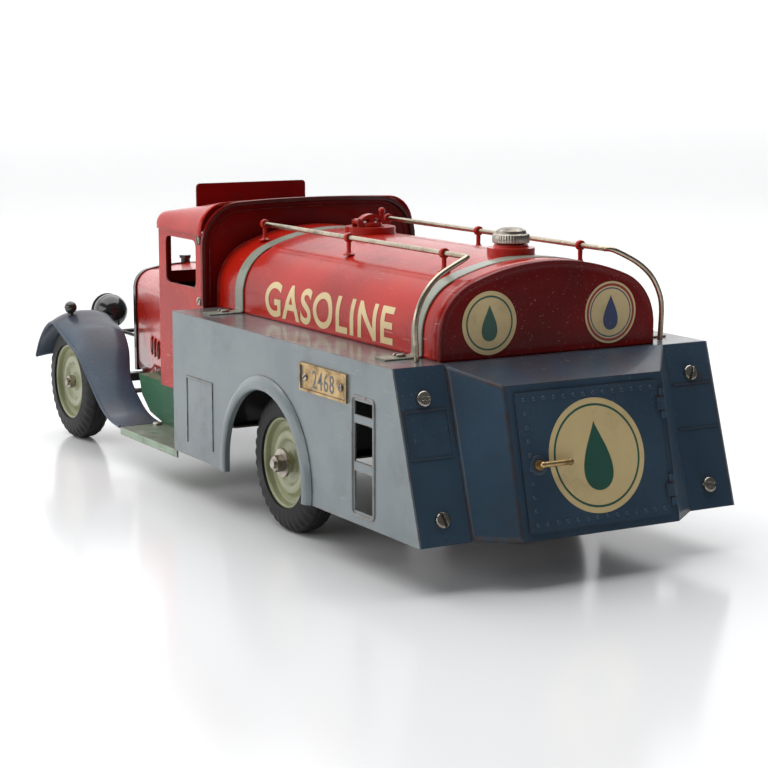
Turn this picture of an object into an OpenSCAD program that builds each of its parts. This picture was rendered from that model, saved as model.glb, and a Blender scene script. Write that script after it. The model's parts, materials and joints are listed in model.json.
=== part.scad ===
// Tin toy tanker truck: a bolted sheet-metal lorry with a tank body and a tail cabinet.
// Millimetres. +Z is up and the ground is z = 0. The truck faces -Y and its left side is +X.

/* [Overall] */
// Distance between the front and rear axles
wheelbase = 255.6; // [215:1:310]
// Front axle to the noses of the front wings
front_overhang = 37.5; // [36:0.5:48]
// Rear axle to the bottom edge of the tail cabinet
rear_overhang = 138.3; // [125:1:166]
// Width over the side skirts
body_w = 155.6; // [150:1:188]
// Thickness of the tinplate
sheet = 0.8; // [0.6:0.1:1]

/* [Wheels and axles] */
// Outer diameter of the tyres
tyre_d = 62; // [58:1:64]
// Width of the tyres
tyre_w = 14.5; // [12:0.5:17]
// Diameter of the wheel discs at the tyre's inner edge
rim_d = 40.8; // [36:0.4:44]
// Diameter of the axles and stub axles
axle_d = 4; // [3:0.2:4.8]
// Skirt face to the outer face of a rear tyre
rear_tyre_inset = 5; // [3:0.5:6]
// Skirt face to the outer face of a front tyre
front_tyre_inset = 5; // [4.5:0.5:8]
// Radial running clearance of an axle in its bearing
running_gap = 0.05; // [0.02:0.01:0.1]
// Distance from a kingpin to its tie rod pin
steer_arm = 12; // [10:0.5:14]
// Diameter of the kingpins
kingpin_d = 3.2; // [2.6:0.2:3.8]

/* [Chassis] */
// Inner face of one girder to the middle of the truck
girder_x = 20; // [18:1:24]
// Height of the girders
girder_h = 7; // [5:0.5:7.4]
// Width of a girder's flanges
girder_w = 8; // [7:0.5:10]
// Diameter of the fixing holes in the girders
fixing_hole_d = 4.2; // [3:0.1:5]
// Distance between the two fixing holes of one girder
fixing_pitch = 180; // [120:5:200]

/* [Side skirts] */
// Height of the skirts' bottom edge over the ground
skirt_z = 19.7; // [17:0.5:22]
// Height of the skirts
skirt_h = 67.6; // [64:0.5:72]
// Radius of the rear wheel opening
arch_r = 37.6; // [35:0.5:42]
// Width of the rolled flare round the wheel opening
flare_w = 6.4; // [5.5:0.1:7.7]
// Width of the hose slots
slot_w = 14.5; // [10:0.5:18]

/* [Tank] */
// Width of the tank
tank_w = 105.2; // [88:1:126]
// Height of the tank over the skirts
tank_h = 33.2; // [31:0.4:40]
// Radius of the tank's upper corners
tank_r = 23; // [19:0.5:28]
// Rise of the tank's crown between its corners
tank_crown = 4.4; // [3:0.1:5.4]
// Width of the tank straps
strap_w = 8.4; // [7:0.2:10.2]
// Diameter of the handrails
rail_d = 2.3; // [1.8:0.1:2.8]
// Handrail to the middle of the truck
rail_x = 34.2; // [26:1:36]
// Diameter of the front filler's base
filler_front_d = 23.6; // [20:0.4:28]
// Diameter of the rear filler's base
filler_rear_d = 20.3; // [18:0.4:24]

/* [Tail cabinet] */
// Width of the cabinet's rear face
cabinet_w = 75.8; // [64:1:91]
// Height of the cabinet's rear face, bottom to top edge
cabinet_h = 60.2; // [54:1:62]
// Margin of the cabinet's face round its door
door_margin = 3.2; // [2.4:0.2:6]
// Diameter of the door's hinge pins
hinge_pin_d = 1.4; // [1:0.1:1.6]

/* [Cab and hood] */
// Width of the cab's back panel
cab_w = 119.4; // [112:1:132]
// Length of the cab along the truck
cab_l = 53.8; // [48:1:60]
// Height of the cab's back panel over the ground
cab_top = 137.4; // [130:1:145]
// Front axle to the cab's back face
axle_to_cab = 146; // [142:1:160]
// Half-width of the hood at the radiator
hood_front_x = 30.5; // [28:0.5:33]
// Half-width of the hood at its rear end
hood_rear_x = 48; // [44:1:50]
// Diameter of the headlamps
headlamp_d = 19.2; // [16:0.4:20]
// Diameter of the steering wheel
steering_wheel_d = 26; // [20:1:30]

/* [Hidden] */
$fn = 48;

// Lengthwise stations
overall_l = front_overhang + wheelbase + rear_overhang;
tail_y = overall_l / 2;
axle_f = -overall_l / 2 + front_overhang;
axle_r = axle_f + wheelbase;
axle_z = tyre_d / 2;
cab_back_y = axle_f + axle_to_cab;
cab_front_y = cab_back_y - cab_l;
cowl_y = cab_front_y - 20;
radiator_y = axle_f - 1.7;
skirt_y0 = cab_back_y + 5.8;

// Heights and widths
half = body_w / 2;
skirt_top = skirt_z + skirt_h;
pan_z = 41.5;
pan_x = 54;
board_z = 19.6;
girder_z = pan_z - sheet - 0.2 - girder_h;
clear = 0.3;

// Tail: the skirts and corner panels rake back, and the cabinet's face rakes less
skirt_bottom_y = tail_y - 12.6;
skirt_rake = 21.4;
skirt_y1 = skirt_bottom_y - skirt_rake;
rake_angle = atan(skirt_rake / skirt_h);
cabinet_side_x = tank_w / 2 + 1.4;
cabinet_rake = 14.3;
cabinet_angle = atan(cabinet_rake / cabinet_h);
cabinet_top_y = tail_y - cabinet_rake;
door_w = cabinet_w - 2 * door_margin;
door_l = cabinet_h / cos(cabinet_angle) - 2 * door_margin;
door_x = door_w / 2;

// Tank
tank_y0 = cab_back_y + 3.3;
tank_y1 = skirt_y1 - 4.6;
tank_top = skirt_top + tank_h;
strap_front_y = tank_y0 + 25;
strap_rear_y = tank_y1 - 17.9;
rail_z = tank_top + tank_crown + 2.8;
filler_front_y = tank_y0 + 57;
filler_rear_y = tank_y1 - 29.8;
post_y = [tank_y0 + 14.7, (tank_y0 + tank_y1) / 2 - 5.3, tank_y1 - 27.8];

// Wheels
rear_wheel_x = half - rear_tyre_inset - tyre_w / 2;
front_wheel_x = half - front_tyre_inset - tyre_w / 2;
kingpin_x = half - front_tyre_inset - tyre_w - 7.8;
rim_r = rim_d / 2;

// Steering column: its wheel's centre, and its slope
column_x = 24;
column_y = cab_front_y + 14;
column_z = 84;
column_tilt = 45;
column_l = (column_z - pan_z) / sin(column_tilt);

// ---- helpers ----

// Copies its children mirrored to the other side
module both() {
    children();
    mirror([1, 0, 0]) children();
}

// A cylinder along X between two stations
module rod_x(x0, x1, y, z, r) {
    translate([x0, y, z]) rotate([0, 90, 0]) cylinder(h = x1 - x0, r = r);
}

// Tank-like outline: upright sides, round upper corners and a crowned top that meets them smoothly
module crowned_outline(w, z0, z1, r, crown) {
    chord = w / 2 - r;
    crown_r = (chord * chord + crown * crown) / (2 * crown);
    crown_c = z1 + crown - crown_r;
    corner_z = crown_c + sqrt(pow(crown_r - r, 2) - chord * chord);
    meet = [chord, corner_z - crown_c] * (crown_r / (crown_r - r)) + [0, crown_c];
    translate([-w / 2, z0]) square([w, corner_z - z0]);
    intersection() {
        for (s = [-1, 1]) translate([s * chord, corner_z]) circle(r = r);
        translate([-w / 2, corner_z - 0.5]) square([w, r + 1]);
    }
    polygon([[-chord, corner_z - 0.5], [chord, corner_z - 0.5], meet, [-meet[0], meet[1]]]);
    intersection() {
        translate([0, crown_c]) circle(r = crown_r, $fn = 180);
        translate([-meet[0], meet[1] - 0.5]) square([2 * meet[0], crown_r]);
    }
}

// Rectangle with round corners, from its lower left corner
module round_frame(x, y, w, h, r) {
    translate([x, y + r]) square([w, h - 2 * r]);
    translate([x + r, y]) square([w - 2 * r, h]);
    for (i = [0, 1], j = [0, 1]) translate([x + r + i * (w - 2 * r), y + r + j * (h - 2 * r)]) circle(r = r);
}

// An outline in X and Z extruded along Y
module along_y(y0, l) {
    translate([0, y0 + l, 0]) rotate([90, 0, 0]) linear_extrude(height = l) children();
}

// A side outline in Y and Z extruded along X
module along_x(x0, t) {
    translate([x0, 0, 0]) rotate([90, 0, 90]) linear_extrude(height = t) children();
}

// Half outline of a shell, from the bottom edge up to the middle
function half_arc(w, z0, z1, r, crown, n) = concat(
    [[w, z0]],
    [for (i = [0 : n]) [w - r + r * cos(90 * i / n), z1 - r + r * sin(90 * i / n)]],
    [for (i = [1 : 3]) [(w - r) * (1 - i / 3), z1 + crown * (1 - pow(1 - i / 3, 2))]]);
function mirrored(p) = concat(p, [for (i = [len(p) - 2 : -1 : 0]) [-p[i][0], p[i][1]]]);
function backwards(p) = [for (i = [len(p) - 1 : -1 : 0]) p[i]];

// Closed ring of a thin arched section at one station
function arched_ring(y, w, z0, z1, r, crown, t, n) =
    [for (p = concat(mirrored(half_arc(w, z0, z1, r, crown, n)),
                     backwards(mirrored(half_arc(w - t, z0, z1 - t, r - t, crown, n)))))
        [p[0], y, p[1]]];

// Cuts faces into triangles fanned from their first point
function fans(faces) = [for (f = faces) for (k = [1 : len(f) - 2]) [f[0], f[k], f[k + 1]]];

// Solid between equal rings of points; each ring runs out along one edge and back along the other,
// so both ends are closed by strips between point j and point n - 1 - j
module skin(rings) {
    n = len(rings[0]);
    m = len(rings);
    last = (m - 1) * n;
    points = [for (ring = rings) for (p = ring) p];
    sides = [for (i = [0 : m - 2]) for (j = [0 : n - 1])
        [i * n + j, i * n + (j + 1) % n, (i + 1) * n + (j + 1) % n, (i + 1) * n + j]];
    ends = [for (j = [0 : n / 2 - 2]) each [
        [j + 1, j, n - 1 - j, n - 2 - j],
        [last + j, last + j + 1, last + n - 2 - j, last + n - 1 - j]]];
    polyhedron(points = points, faces = fans(concat(sides, ends)));
}

// Smooth curve through points: each span is cut into k steps
function spline_at(p, i, t) =
    let (a = p[max(i - 1, 0)], b = p[i], c = p[i + 1], d = p[min(i + 2, len(p) - 1)])
    b + 0.5 * t * (c - a + t * (2 * a - 5 * b + 4 * c - d + t * (3 * (b - c) + d - a)));
function spline(p, k) = concat(
    [for (i = [0 : len(p) - 2]) for (j = [0 : k - 1]) spline_at(p, i, j / k)],
    [p[len(p) - 1]]);

// Round rod carried along a path whose direction is never straight up for long
function unit(v) = v / norm(v);
function path_way(p, i) = unit(p[min(i + 1, len(p) - 1)] - p[max(i - 1, 0)]);
module bent_rod(p, r, up, sides) {
    skin([for (i = [0 : len(p) - 1])
        let (w = path_way(p, i), u = unit(cross(w, up)), v = cross(w, u))
        [for (j = [0 : sides - 1]) p[i] + r * (cos(360 * j / sides) * u + sin(360 * j / sides) * v)]]);
}

// Cheese-head screw with a slot, standing on z = 0
module slotted_head(r, h, turn) {
    difference() {
        cylinder(h = h, r = r);
        rotate([0, 0, turn]) translate([-r - 1, -r * 0.14, h * 0.5]) cube([2 * r + 2, r * 0.28, h]);
    }
}

// Places a child on a raked plane that passes through a bottom edge, height up the slope
module on_rake(y, z, angle, x, up) {
    translate([x, y, z]) rotate([angle, 0, 0]) translate([0, 0, up]) rotate([-90, 0, 0]) children();
}

// ---- chassis ----

module girder(side) {
    y0 = radiator_y + 0.5;
    y1 = skirt_y1 - 6;
    mirror([side < 0 ? 1 : 0, 0, 0]) difference() {
        union() {
            translate([girder_x, y0, girder_z]) cube([sheet, y1 - y0, girder_h]);
            translate([girder_x, y0, girder_z]) cube([girder_w, y1 - y0, sheet]);
            translate([girder_x, y0, girder_z + girder_h - sheet]) cube([girder_w, y1 - y0, sheet]);
            // Bearing lug of the rear axle
            translate([girder_x, axle_r - 5, axle_z]) cube([3, 10, girder_z + 4 - axle_z]);
            rod_x(girder_x, girder_x + 3, axle_r, axle_z, 5);
        }
        rod_x(girder_x - 1, girder_x + 4, axle_r, axle_z, axle_d / 2 + running_gap);
        for (s = [-1, 1])
            translate([girder_x + girder_w / 2 + 0.5, s * fixing_pitch / 2, girder_z - 1])
                cylinder(h = sheet + 2, d = fixing_hole_d);
    }
}

module girder_left() { color("dimgray") girder(1); }
module girder_right() { color("dimgray") girder(-1); }

// Upright bulkheads that carry the skirts and the tank on the girders
module cross_members() {
    z0 = girder_z + girder_h;
    z1 = skirt_top - sheet;
    reach = half - sheet;
    color("dimgray")
        for (y = [skirt_y0 + 6, axle_r - tyre_d / 2 - 14, axle_r + arch_r + 6]) {
            translate([-reach, y, z0]) cube([2 * reach, sheet, z1 - z0]);
            translate([-reach, y, z1 - sheet]) cube([2 * reach, 6, sheet]);
            translate([-reach, y, z0]) cube([2 * reach, 6, sheet]);
        }
}

// Green floor of the cab with its down-turned sides and the column's foot bearing
module frame_pan() {
    y0 = axle_f + 54;
    y1 = cab_back_y - 1.2;
    foot_y = column_y - column_l * cos(column_tilt);
    color("seagreen") difference() {
        union() {
            translate([-pan_x, y0, pan_z - sheet]) cube([2 * pan_x, y1 - y0, sheet]);
            for (s = [0, 1]) mirror([s, 0, 0]) along_x(pan_x - sheet, sheet)
                polygon([[y0, pan_z], [y0 + 4, 31], [y0 + 14, 23.4], [axle_f + 82.7, 20.4],
                         [axle_f + 83, board_z], [skirt_y0 - 1, board_z], [skirt_y0 - 1, pan_z + 26.5],
                         [cab_back_y + 0.05, pan_z + 26.5], [cab_back_y + 0.05, pan_z]]);
            intersection() {
                translate([column_x, foot_y, pan_z]) rotate([-column_tilt, 0, 0])
                    translate([0, 0, -8]) cylinder(h = 14, r = 3.4);
                translate([column_x - 8, foot_y - 20, pan_z - sheet]) cube([16, 40, 20]);
            }
        }
        translate([column_x, foot_y, pan_z]) rotate([-column_tilt, 0, 0])
            translate([0, 0, -14]) cylinder(h = 30, r = 1.5 + running_gap);
    }
}

// ---- front axle and steering ----

module front_axle_beam() {
    color("gray") {
        difference() {
            union() {
                translate([-kingpin_x, axle_f - 3, axle_z - 2.2]) cube([2 * kingpin_x, 6, 4.4]);
                for (s = [-1, 1]) {
                    translate([s * kingpin_x, axle_f, axle_z - 2.2]) cylinder(h = 4.4, r = 4);
                    translate([s * (girder_x + girder_w / 2) - 3.5, axle_f - 3, axle_z])
                        cube([7, 6, girder_z - axle_z]);
                }
            }
        }
        for (s = [-1, 1]) translate([s * kingpin_x, axle_f, axle_z - 5.5])
            cylinder(h = 11, d = kingpin_d);
    }
}

// Stub axle with its forked ears, its steering arm and its end nut
module knuckle(side) {
    ear = 2;
    gap = 2.2 + clear;
    web_x = kingpin_x + 4.5;
    nut_x = front_wheel_x + tyre_w / 2 - 3;
    mirror([side < 0 ? 1 : 0, 0, 0]) {
        difference() {
            union() {
                for (z = [axle_z + gap, axle_z - gap - ear]) {
                    translate([kingpin_x, axle_f, z]) cylinder(h = ear, r = 4);
                    translate([kingpin_x, axle_f - 4, z]) cube([6, 8, ear]);
                }
                translate([kingpin_x, axle_f, axle_z - gap - ear]) translate([-2.5, 0, 0])
                    cube([5, steer_arm, ear]);
                translate([kingpin_x, axle_f + steer_arm, axle_z - gap - ear])
                    cylinder(h = ear, r = 2.5);
            }
            translate([kingpin_x, axle_f, axle_z - 8]) cylinder(h = 16, d = kingpin_d + 2 * running_gap);
        }
        translate([web_x, axle_f - 4, axle_z - gap - ear]) cube([1.8, 8, 2 * (gap + ear)]);
        rod_x(web_x, nut_x + 4, axle_f, axle_z, axle_d / 2);
        translate([nut_x, axle_f, axle_z]) rotate([0, 90, 0]) cylinder(h = 2.6, r = 3.6, $fn = 6);
        translate([kingpin_x, axle_f + steer_arm, axle_z - gap - ear - 3.2])
            cylinder(h = 3.2 + ear / 2, r = 1.2);
    }
}

module knuckle_left() { color("silver") knuckle(1); }
module knuckle_right() { color("silver") knuckle(-1); }

// Flat bar with a loose eye at each end, hung under the steering arms
module tie_rod() {
    z = axle_z - 2.2 - clear - 2 - 0.6 - 2;
    color("silver") difference() {
        union() {
            translate([-kingpin_x, axle_f + steer_arm - 2, z]) cube([2 * kingpin_x, 4, 2]);
            for (s = [-1, 1]) translate([s * kingpin_x, axle_f + steer_arm, z]) cylinder(h = 2, r = 4);
        }
        for (s = [-1, 1]) translate([s * kingpin_x, axle_f + steer_arm, z - 1])
            cylinder(h = 4, r = 1.2 + 0.7);
    }
}

// ---- wheels: modelled on +Z outwards, then turned to the side they stand on ----

module at_wheel(x, y, side) {
    translate([side * x, y, axle_z]) rotate([0, side * 90, 0]) children();
}

// Pressed disc with a rim, a raised ring and a hub tube
module wheel_disc(hub_out, bore_r) {
    flange = tyre_w / 2 - 1.2;
    rotate_extrude($fn = 96) polygon([
        [bore_r, -flange], [bore_r + 2.2, -flange], [bore_r + 2.2, 1.6], [9, 1.6], [11, 3.4],
        [13.5, 3.4], [15, 1.6], [rim_r - 1, 1.6], [rim_r - 1, -flange], [rim_r, -flange],
        [rim_r, flange], [rim_r - 1.4, flange], [rim_r - 1.6, 2.6], [15.4, 2.6], [13.9, 4.4],
        [10.6, 4.4], [8.6, 2.6], [bore_r + 2.6, 2.6], [bore_r + 2.2, hub_out], [bore_r, hub_out]]);
}

module tyre() {
    crown_r = tyre_w / 2;
    rotate_extrude($fn = 96) difference() {
        union() {
            translate([tyre_d / 2 - crown_r, 0]) circle(r = crown_r, $fn = 40);
            translate([rim_r, -tyre_w / 2 + 1]) square([tyre_d / 2 - crown_r - rim_r + 0.5, tyre_w - 2]);
        }
        translate([0, -tyre_w]) square([rim_r, 2 * tyre_w]);
    }
}

front_hub_out = tyre_w / 2 - 3 - clear;
rear_hub_out = tyre_w / 2 - 1;

module wheel_front_left() { color("darkseagreen") at_wheel(front_wheel_x, axle_f, 1)
    wheel_disc(front_hub_out, axle_d / 2 + running_gap); }
module wheel_front_right() { color("darkseagreen") at_wheel(front_wheel_x, axle_f, -1)
    wheel_disc(front_hub_out, axle_d / 2 + running_gap); }
module wheel_rear_left() { color("darkseagreen") at_wheel(rear_wheel_x, axle_r, 1)
    wheel_disc(rear_hub_out, axle_d / 2); }
module wheel_rear_right() { color("darkseagreen") at_wheel(rear_wheel_x, axle_r, -1)
    wheel_disc(rear_hub_out, axle_d / 2); }
module tyre_front_left() { color([0.1, 0.1, 0.1]) at_wheel(front_wheel_x, axle_f, 1) tyre(); }
module tyre_front_right() { color([0.1, 0.1, 0.1]) at_wheel(front_wheel_x, axle_f, -1) tyre(); }
module tyre_rear_left() { color([0.1, 0.1, 0.1]) at_wheel(rear_wheel_x, axle_r, 1) tyre(); }
module tyre_rear_right() { color([0.1, 0.1, 0.1]) at_wheel(rear_wheel_x, axle_r, -1) tyre(); }

module rear_axle() {
    end = rear_wheel_x + rear_hub_out + 6;
    color("silver") {
        rod_x(-end, end, axle_r, axle_z, axle_d / 2);
        // Collars that keep the axle centred between the girders' lugs
        for (s = [-1, 1]) rod_x(s * (girder_x - 2.4) - 2, s * (girder_x - 2.4) + 2, axle_r, axle_z, 4);
    }
}

module rear_hub_nuts() {
    color("silver") for (s = [-1, 1]) at_wheel(rear_wheel_x, axle_r, s)
        translate([0, 0, rear_hub_out]) difference() {
            union() {
                cylinder(h = 1.4, r = 6.4);
                translate([0, 0, 1.4]) cylinder(h = 3.4, r = 3.8, $fn = 6);
            }
            translate([0, 0, -1]) cylinder(h = 6, d = axle_d);
        }
}

// ---- running boards and wings ----

module running_board(side) {
    y0 = axle_f + 83;
    y1 = skirt_y0 + 1;
    mirror([side < 0 ? 1 : 0, 0, 0]) {
        translate([pan_x - sheet, y0, board_z - sheet]) cube([half - 0.8 - pan_x + sheet, y1 - y0, sheet]);
        translate([half - 0.8 - sheet, y0, board_z - 3.8]) cube([sheet, y1 - y0, 3.8]);
    }
}

module running_board_left() { color("mediumaquamarine") running_board(1); }
module running_board_right() { color("mediumaquamarine") running_board(-1); }

// Line of a wing's outer edge from its nose to the running board, its crown over that edge, and
// the station of its inner edge
wing_edge = [[-37.5, 40.5, 2, 46], [-31, 50.3, 4.4, 46], [-21, 59.2, 5.4, 46], [-10.5, 62.8, 5.6, 46],
             [1, 58.8, 7.2, 46], [14, 53.6, 8.3, 46], [28, 48, 5.6, 49], [43, 36.8, 3, 54.2],
             [56, 27, 1, 54.2], [68, 21.6, 0.4, 54.2], [82.5, board_z, 0, 54.2]];
wing_x1 = half - 0.8;
wing_steps = 8;

function wing_point(p, way, u, lift) =
    let (x = p[3] + (wing_x1 - p[3]) * u,
         rise = p[2] * (1 - pow(abs(2.1 * u - 0.85) / 1.25, 2.4)) + lift,
         out = [way[1], -way[0]])
    [x, axle_f + p[0] - out[0] * rise, p[1] - out[1] * rise];

module wing(side) {
    path = spline(wing_edge, 2);
    mirror([side < 0 ? 1 : 0, 0, 0])
        skin([for (i = [0 : len(path) - 1])
            let (p = path[i],
                 a = path[max(i - 1, 0)], b = path[min(i + 1, len(path) - 1)],
                 way = unit([b[0] - a[0], b[1] - a[1]]))
            concat([for (j = [0 : wing_steps]) wing_point(p, way, j / wing_steps, 0)],
                   [for (j = [wing_steps : -1 : 0]) wing_point(p, way, j / wing_steps, -sheet)])]);
}

module front_wing_left() { color("darkslategray") wing(1); }
module front_wing_right() { color("darkslategray") wing(-1); }

wing_lamp_x = half - 9.8;
wing_lamp_y = axle_f - 5.7;
module wing_lamps() {
    color("darkslategray") both() translate([wing_lamp_x, wing_lamp_y, 0]) {
        translate([0, 0, 71]) sphere(r = 3.4);
        translate([0, 0, 66.85]) cylinder(h = 2, r = 1.4);
    }
}

// ---- headlamps and radiator ----

headlamp_x = 36.2;
headlamp_y = axle_f - 26.2;
headlamp_z = 64.8;
module headlamp_shells() {
    r = headlamp_d / 2;
    color("black") both() translate([headlamp_x, headlamp_y, headlamp_z]) difference() {
        union() {
            sphere(r = r);
            rotate([90, 0, 0]) cylinder(h = 4, r = r);
        }
        translate([-r - 1, -r - 8, -r - 1]) cube([2 * r + 2, r + 4, 2 * r + 2]);
        translate([0, 1, 0]) rotate([90, 0, 0]) cylinder(h = 12, r = r - 1);
    }
}

module headlamp_lenses() {
    r = headlamp_d / 2;
    color("silver") both() translate([headlamp_x, headlamp_y - 4, headlamp_z]) rotate([90, 0, 0]) {
        cylinder(h = 0.8, r = r);
        translate([0, 0, 0.8]) cylinder(h = 0.8, r1 = r, r2 = r - 2, $fn = 48);
    }
}

// Bar across the front with a post under each lamp and two stays from the radiator
module headlamp_brackets() {
    bar_z = headlamp_z - headlamp_d / 2 - 2.4;
    color("dimgray") both() {
        rod_x(-0.5, headlamp_x + 3, headlamp_y, bar_z, 1.2);
        translate([headlamp_x, headlamp_y, bar_z]) cylinder(h = 2.4, r = 2);
        translate([hood_front_x - 0.5, radiator_y - 3, bar_z]) rotate([90, 0, 0])
            cylinder(h = radiator_y - 3 - headlamp_y, r = 1);
    }
}

hood_z0 = 36;
radiator_z = 90;
module radiator_shell() {
    color("dimgray") {
        difference() {
            along_y(radiator_y - 3, 3)
                crowned_outline(2 * hood_front_x + 1.6, hood_z0 - 2, radiator_z + 0.8, 10.8, 2);
            along_y(radiator_y - 4, 5)
                crowned_outline(2 * hood_front_x - 4, hood_z0, radiator_z - 3, 8, 2);
        }
        // Filler cap
        translate([0, radiator_y - 1.5, radiator_z + 2.7]) {
            cylinder(h = 2.4, r = 2.6);
            translate([0, 0, 2.4]) cylinder(h = 1.6, r = 3.6, $fn = 6);
        }
    }
}

module radiator_grille() {
    w = 2 * hood_front_x - 4;
    color("gray") {
        along_y(radiator_y - 1.4, 0.6) crowned_outline(w, hood_z0, radiator_z - 3, 8, 2);
        for (i = [-8 : 8]) translate([i * (w - 6) / 17 - 0.4, radiator_y - 2.2, hood_z0 + 2])
            cube([0.8, 1, radiator_z - hood_z0 - 9]);
    }
}

// Tapered hood with louvre slots low on both sides
hood_rear_z = 95.5;
module hood() {
    l = cowl_y - radiator_y;
    color("firebrick") difference() {
        skin([for (k = [0 : 4])
            let (f = k / 4, w = hood_front_x + (hood_rear_x - hood_front_x) * f)
            arched_ring(radiator_y + l * f, w, f < 0.6 ? hood_z0 : pan_z,
                        radiator_z + (hood_rear_z - radiator_z) * f, 10 + 3 * f, 2, sheet, 5)]);
        for (s = [-1, 1]) for (i = [0 : 2])
            translate([s * (hood_front_x + hood_rear_x) / 2 - 12, cowl_y - 13 - 9 * i, pan_z + 10])
                cube([24, 2.4, 20]);
    }
}

// ---- cab ----

cab_x = cab_w / 2 - 1.7;
window_z0 = 95.3;
window_z1 = 118.5;
roof_edge_z = 121.5;
screen_z0 = 99.5;
sign_x = 4.8;

// Sides with their windows, the cowl, and the windscreen frame
module cab_shell() {
    y1 = cab_back_y - sheet - 0.1;
    l = y1 - cab_front_y;
    win = l - 17.4;
    color("firebrick") {
        difference() {
            for (s = [0, 1]) mirror([s, 0, 0])
                translate([cab_x - sheet, cab_front_y, pan_z]) cube([sheet, l, roof_edge_z - pan_z]);
            along_x(-cab_w, 2 * cab_w) round_frame(cab_front_y + 8.6, window_z0, win, window_z1 - window_z0, 3.5);
        }
        // Windscreen frame with two openings
        difference() {
            translate([-cab_x, cab_front_y, screen_z0 - 6]) cube([2 * cab_x, sheet, roof_edge_z + 8 - screen_z0]);
            for (s = [0, 1]) mirror([s, 0, 0])
                translate([2.5, cab_front_y - 1, screen_z0]) cube([cab_x - 9, 3, 19]);
        }
        // Cowl from the hood's width to the cab's
        skin([for (k = [0 : 2])
            let (f = k / 2, w = hood_rear_x + (cab_x - hood_rear_x) * (1 - cos(90 * f)))
            arched_ring(cowl_y + 0.05 + (cab_front_y + 0.35 - cowl_y) * f, w, pan_z,
                        hood_rear_z + 1.5 * f, 13 - 4 * f, 2, sheet, 5)]);
        // Strip under the pan's sides
        for (s = [0, 1]) mirror([s, 0, 0])
            translate([pan_x + 0.05, cab_front_y, pan_z]) cube([cab_x - sheet - pan_x - 0.05, l, sheet]);
    }
}

module cab_back() {
    color("maroon") {
        along_y(cab_back_y - sheet, sheet) crowned_outline(cab_w - 2, pan_z + 0.1, cab_top - 1, 20, 1);
        // Rolled border
        difference() {
            along_y(cab_back_y - 0.4, 2) crowned_outline(cab_w, skirt_top + 0.4, cab_top, 21, 1);
            along_y(cab_back_y - 1, 4) crowned_outline(cab_w - 3.6, skirt_top - 1, cab_top - 1.8, 19.2, 1);
        }
    }
}

// Roof sheet, low and square-shouldered at the screen and round at the back panel
roof_front_y = cab_front_y - 1;
roof_front_z = cab_top - 7.6;
module cab_roof() {
    color("firebrick") {
        skin([for (k = [0 : 4])
            let (f = k / 4, y1 = cab_back_y - sheet - 0.1)
            arched_ring(roof_front_y + (y1 - roof_front_y) * f, cab_x + 0.9 + 0.5 * f, roof_edge_z,
                        roof_front_z + (cab_top - roof_front_z) * f, 6 + 8 * f * (2 - f), 1, sheet, 6)]);
        // Front fascia that closes the sheet over the screen
        difference() {
            along_y(roof_front_y, sheet)
                crowned_outline(2 * cab_x + 0.6, roof_edge_z, roof_front_z - 0.6, 5.4, 1);
            translate([-cab_x, roof_front_y - 1, roof_edge_z - 1]) cube([2 * cab_x, 4, 3]);
        }
    }
}

module roof_sign() {
    w = 62.4;
    r = 2;
    z0 = roof_front_z - 1;
    z1 = cab_top + 5.5;
    color("maroon") translate([sign_x, 0, 0]) along_y(roof_front_y - 1.1, 1) {
        translate([-w / 2, z0]) square([w, z1 - z0 - r]);
        translate([-w / 2 + r, z0]) square([w - 2 * r, z1 - z0]);
        for (s = [-1, 1]) translate([s * (w / 2 - r), z1 - r]) circle(r = r);
    }
}

module driver_bench() {
    w = 2 * cab_x - 16;
    y1 = cab_back_y - 4;
    color("saddlebrown") {
        translate([-w / 2, y1 - 24, pan_z]) cube([w, 22, 18]);
        translate([-w / 2, y1 - 4, pan_z]) cube([w, 3, 44]);
    }
}

// Rim, three spokes, boss and column, along the column's own axis
module steering_wheel() {
    r = steering_wheel_d / 2;
    color("black") translate([column_x, column_y, column_z]) rotate([-column_tilt, 0, 0]) {
        rotate_extrude() translate([r - 1.1, 0]) circle(r = 1.1, $fn = 20);
        cylinder(h = 2.4, r = 3, center = true);
        for (i = [0 : 2]) rotate([0, 0, 90 + 120 * i]) translate([1, -0.8, -0.6]) cube([r - 2, 1.6, 1.2]);
        translate([0, 0, 1 - column_l]) cylinder(h = column_l - 1, r = 1.5);
    }
}

// ---- tank body ----

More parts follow.
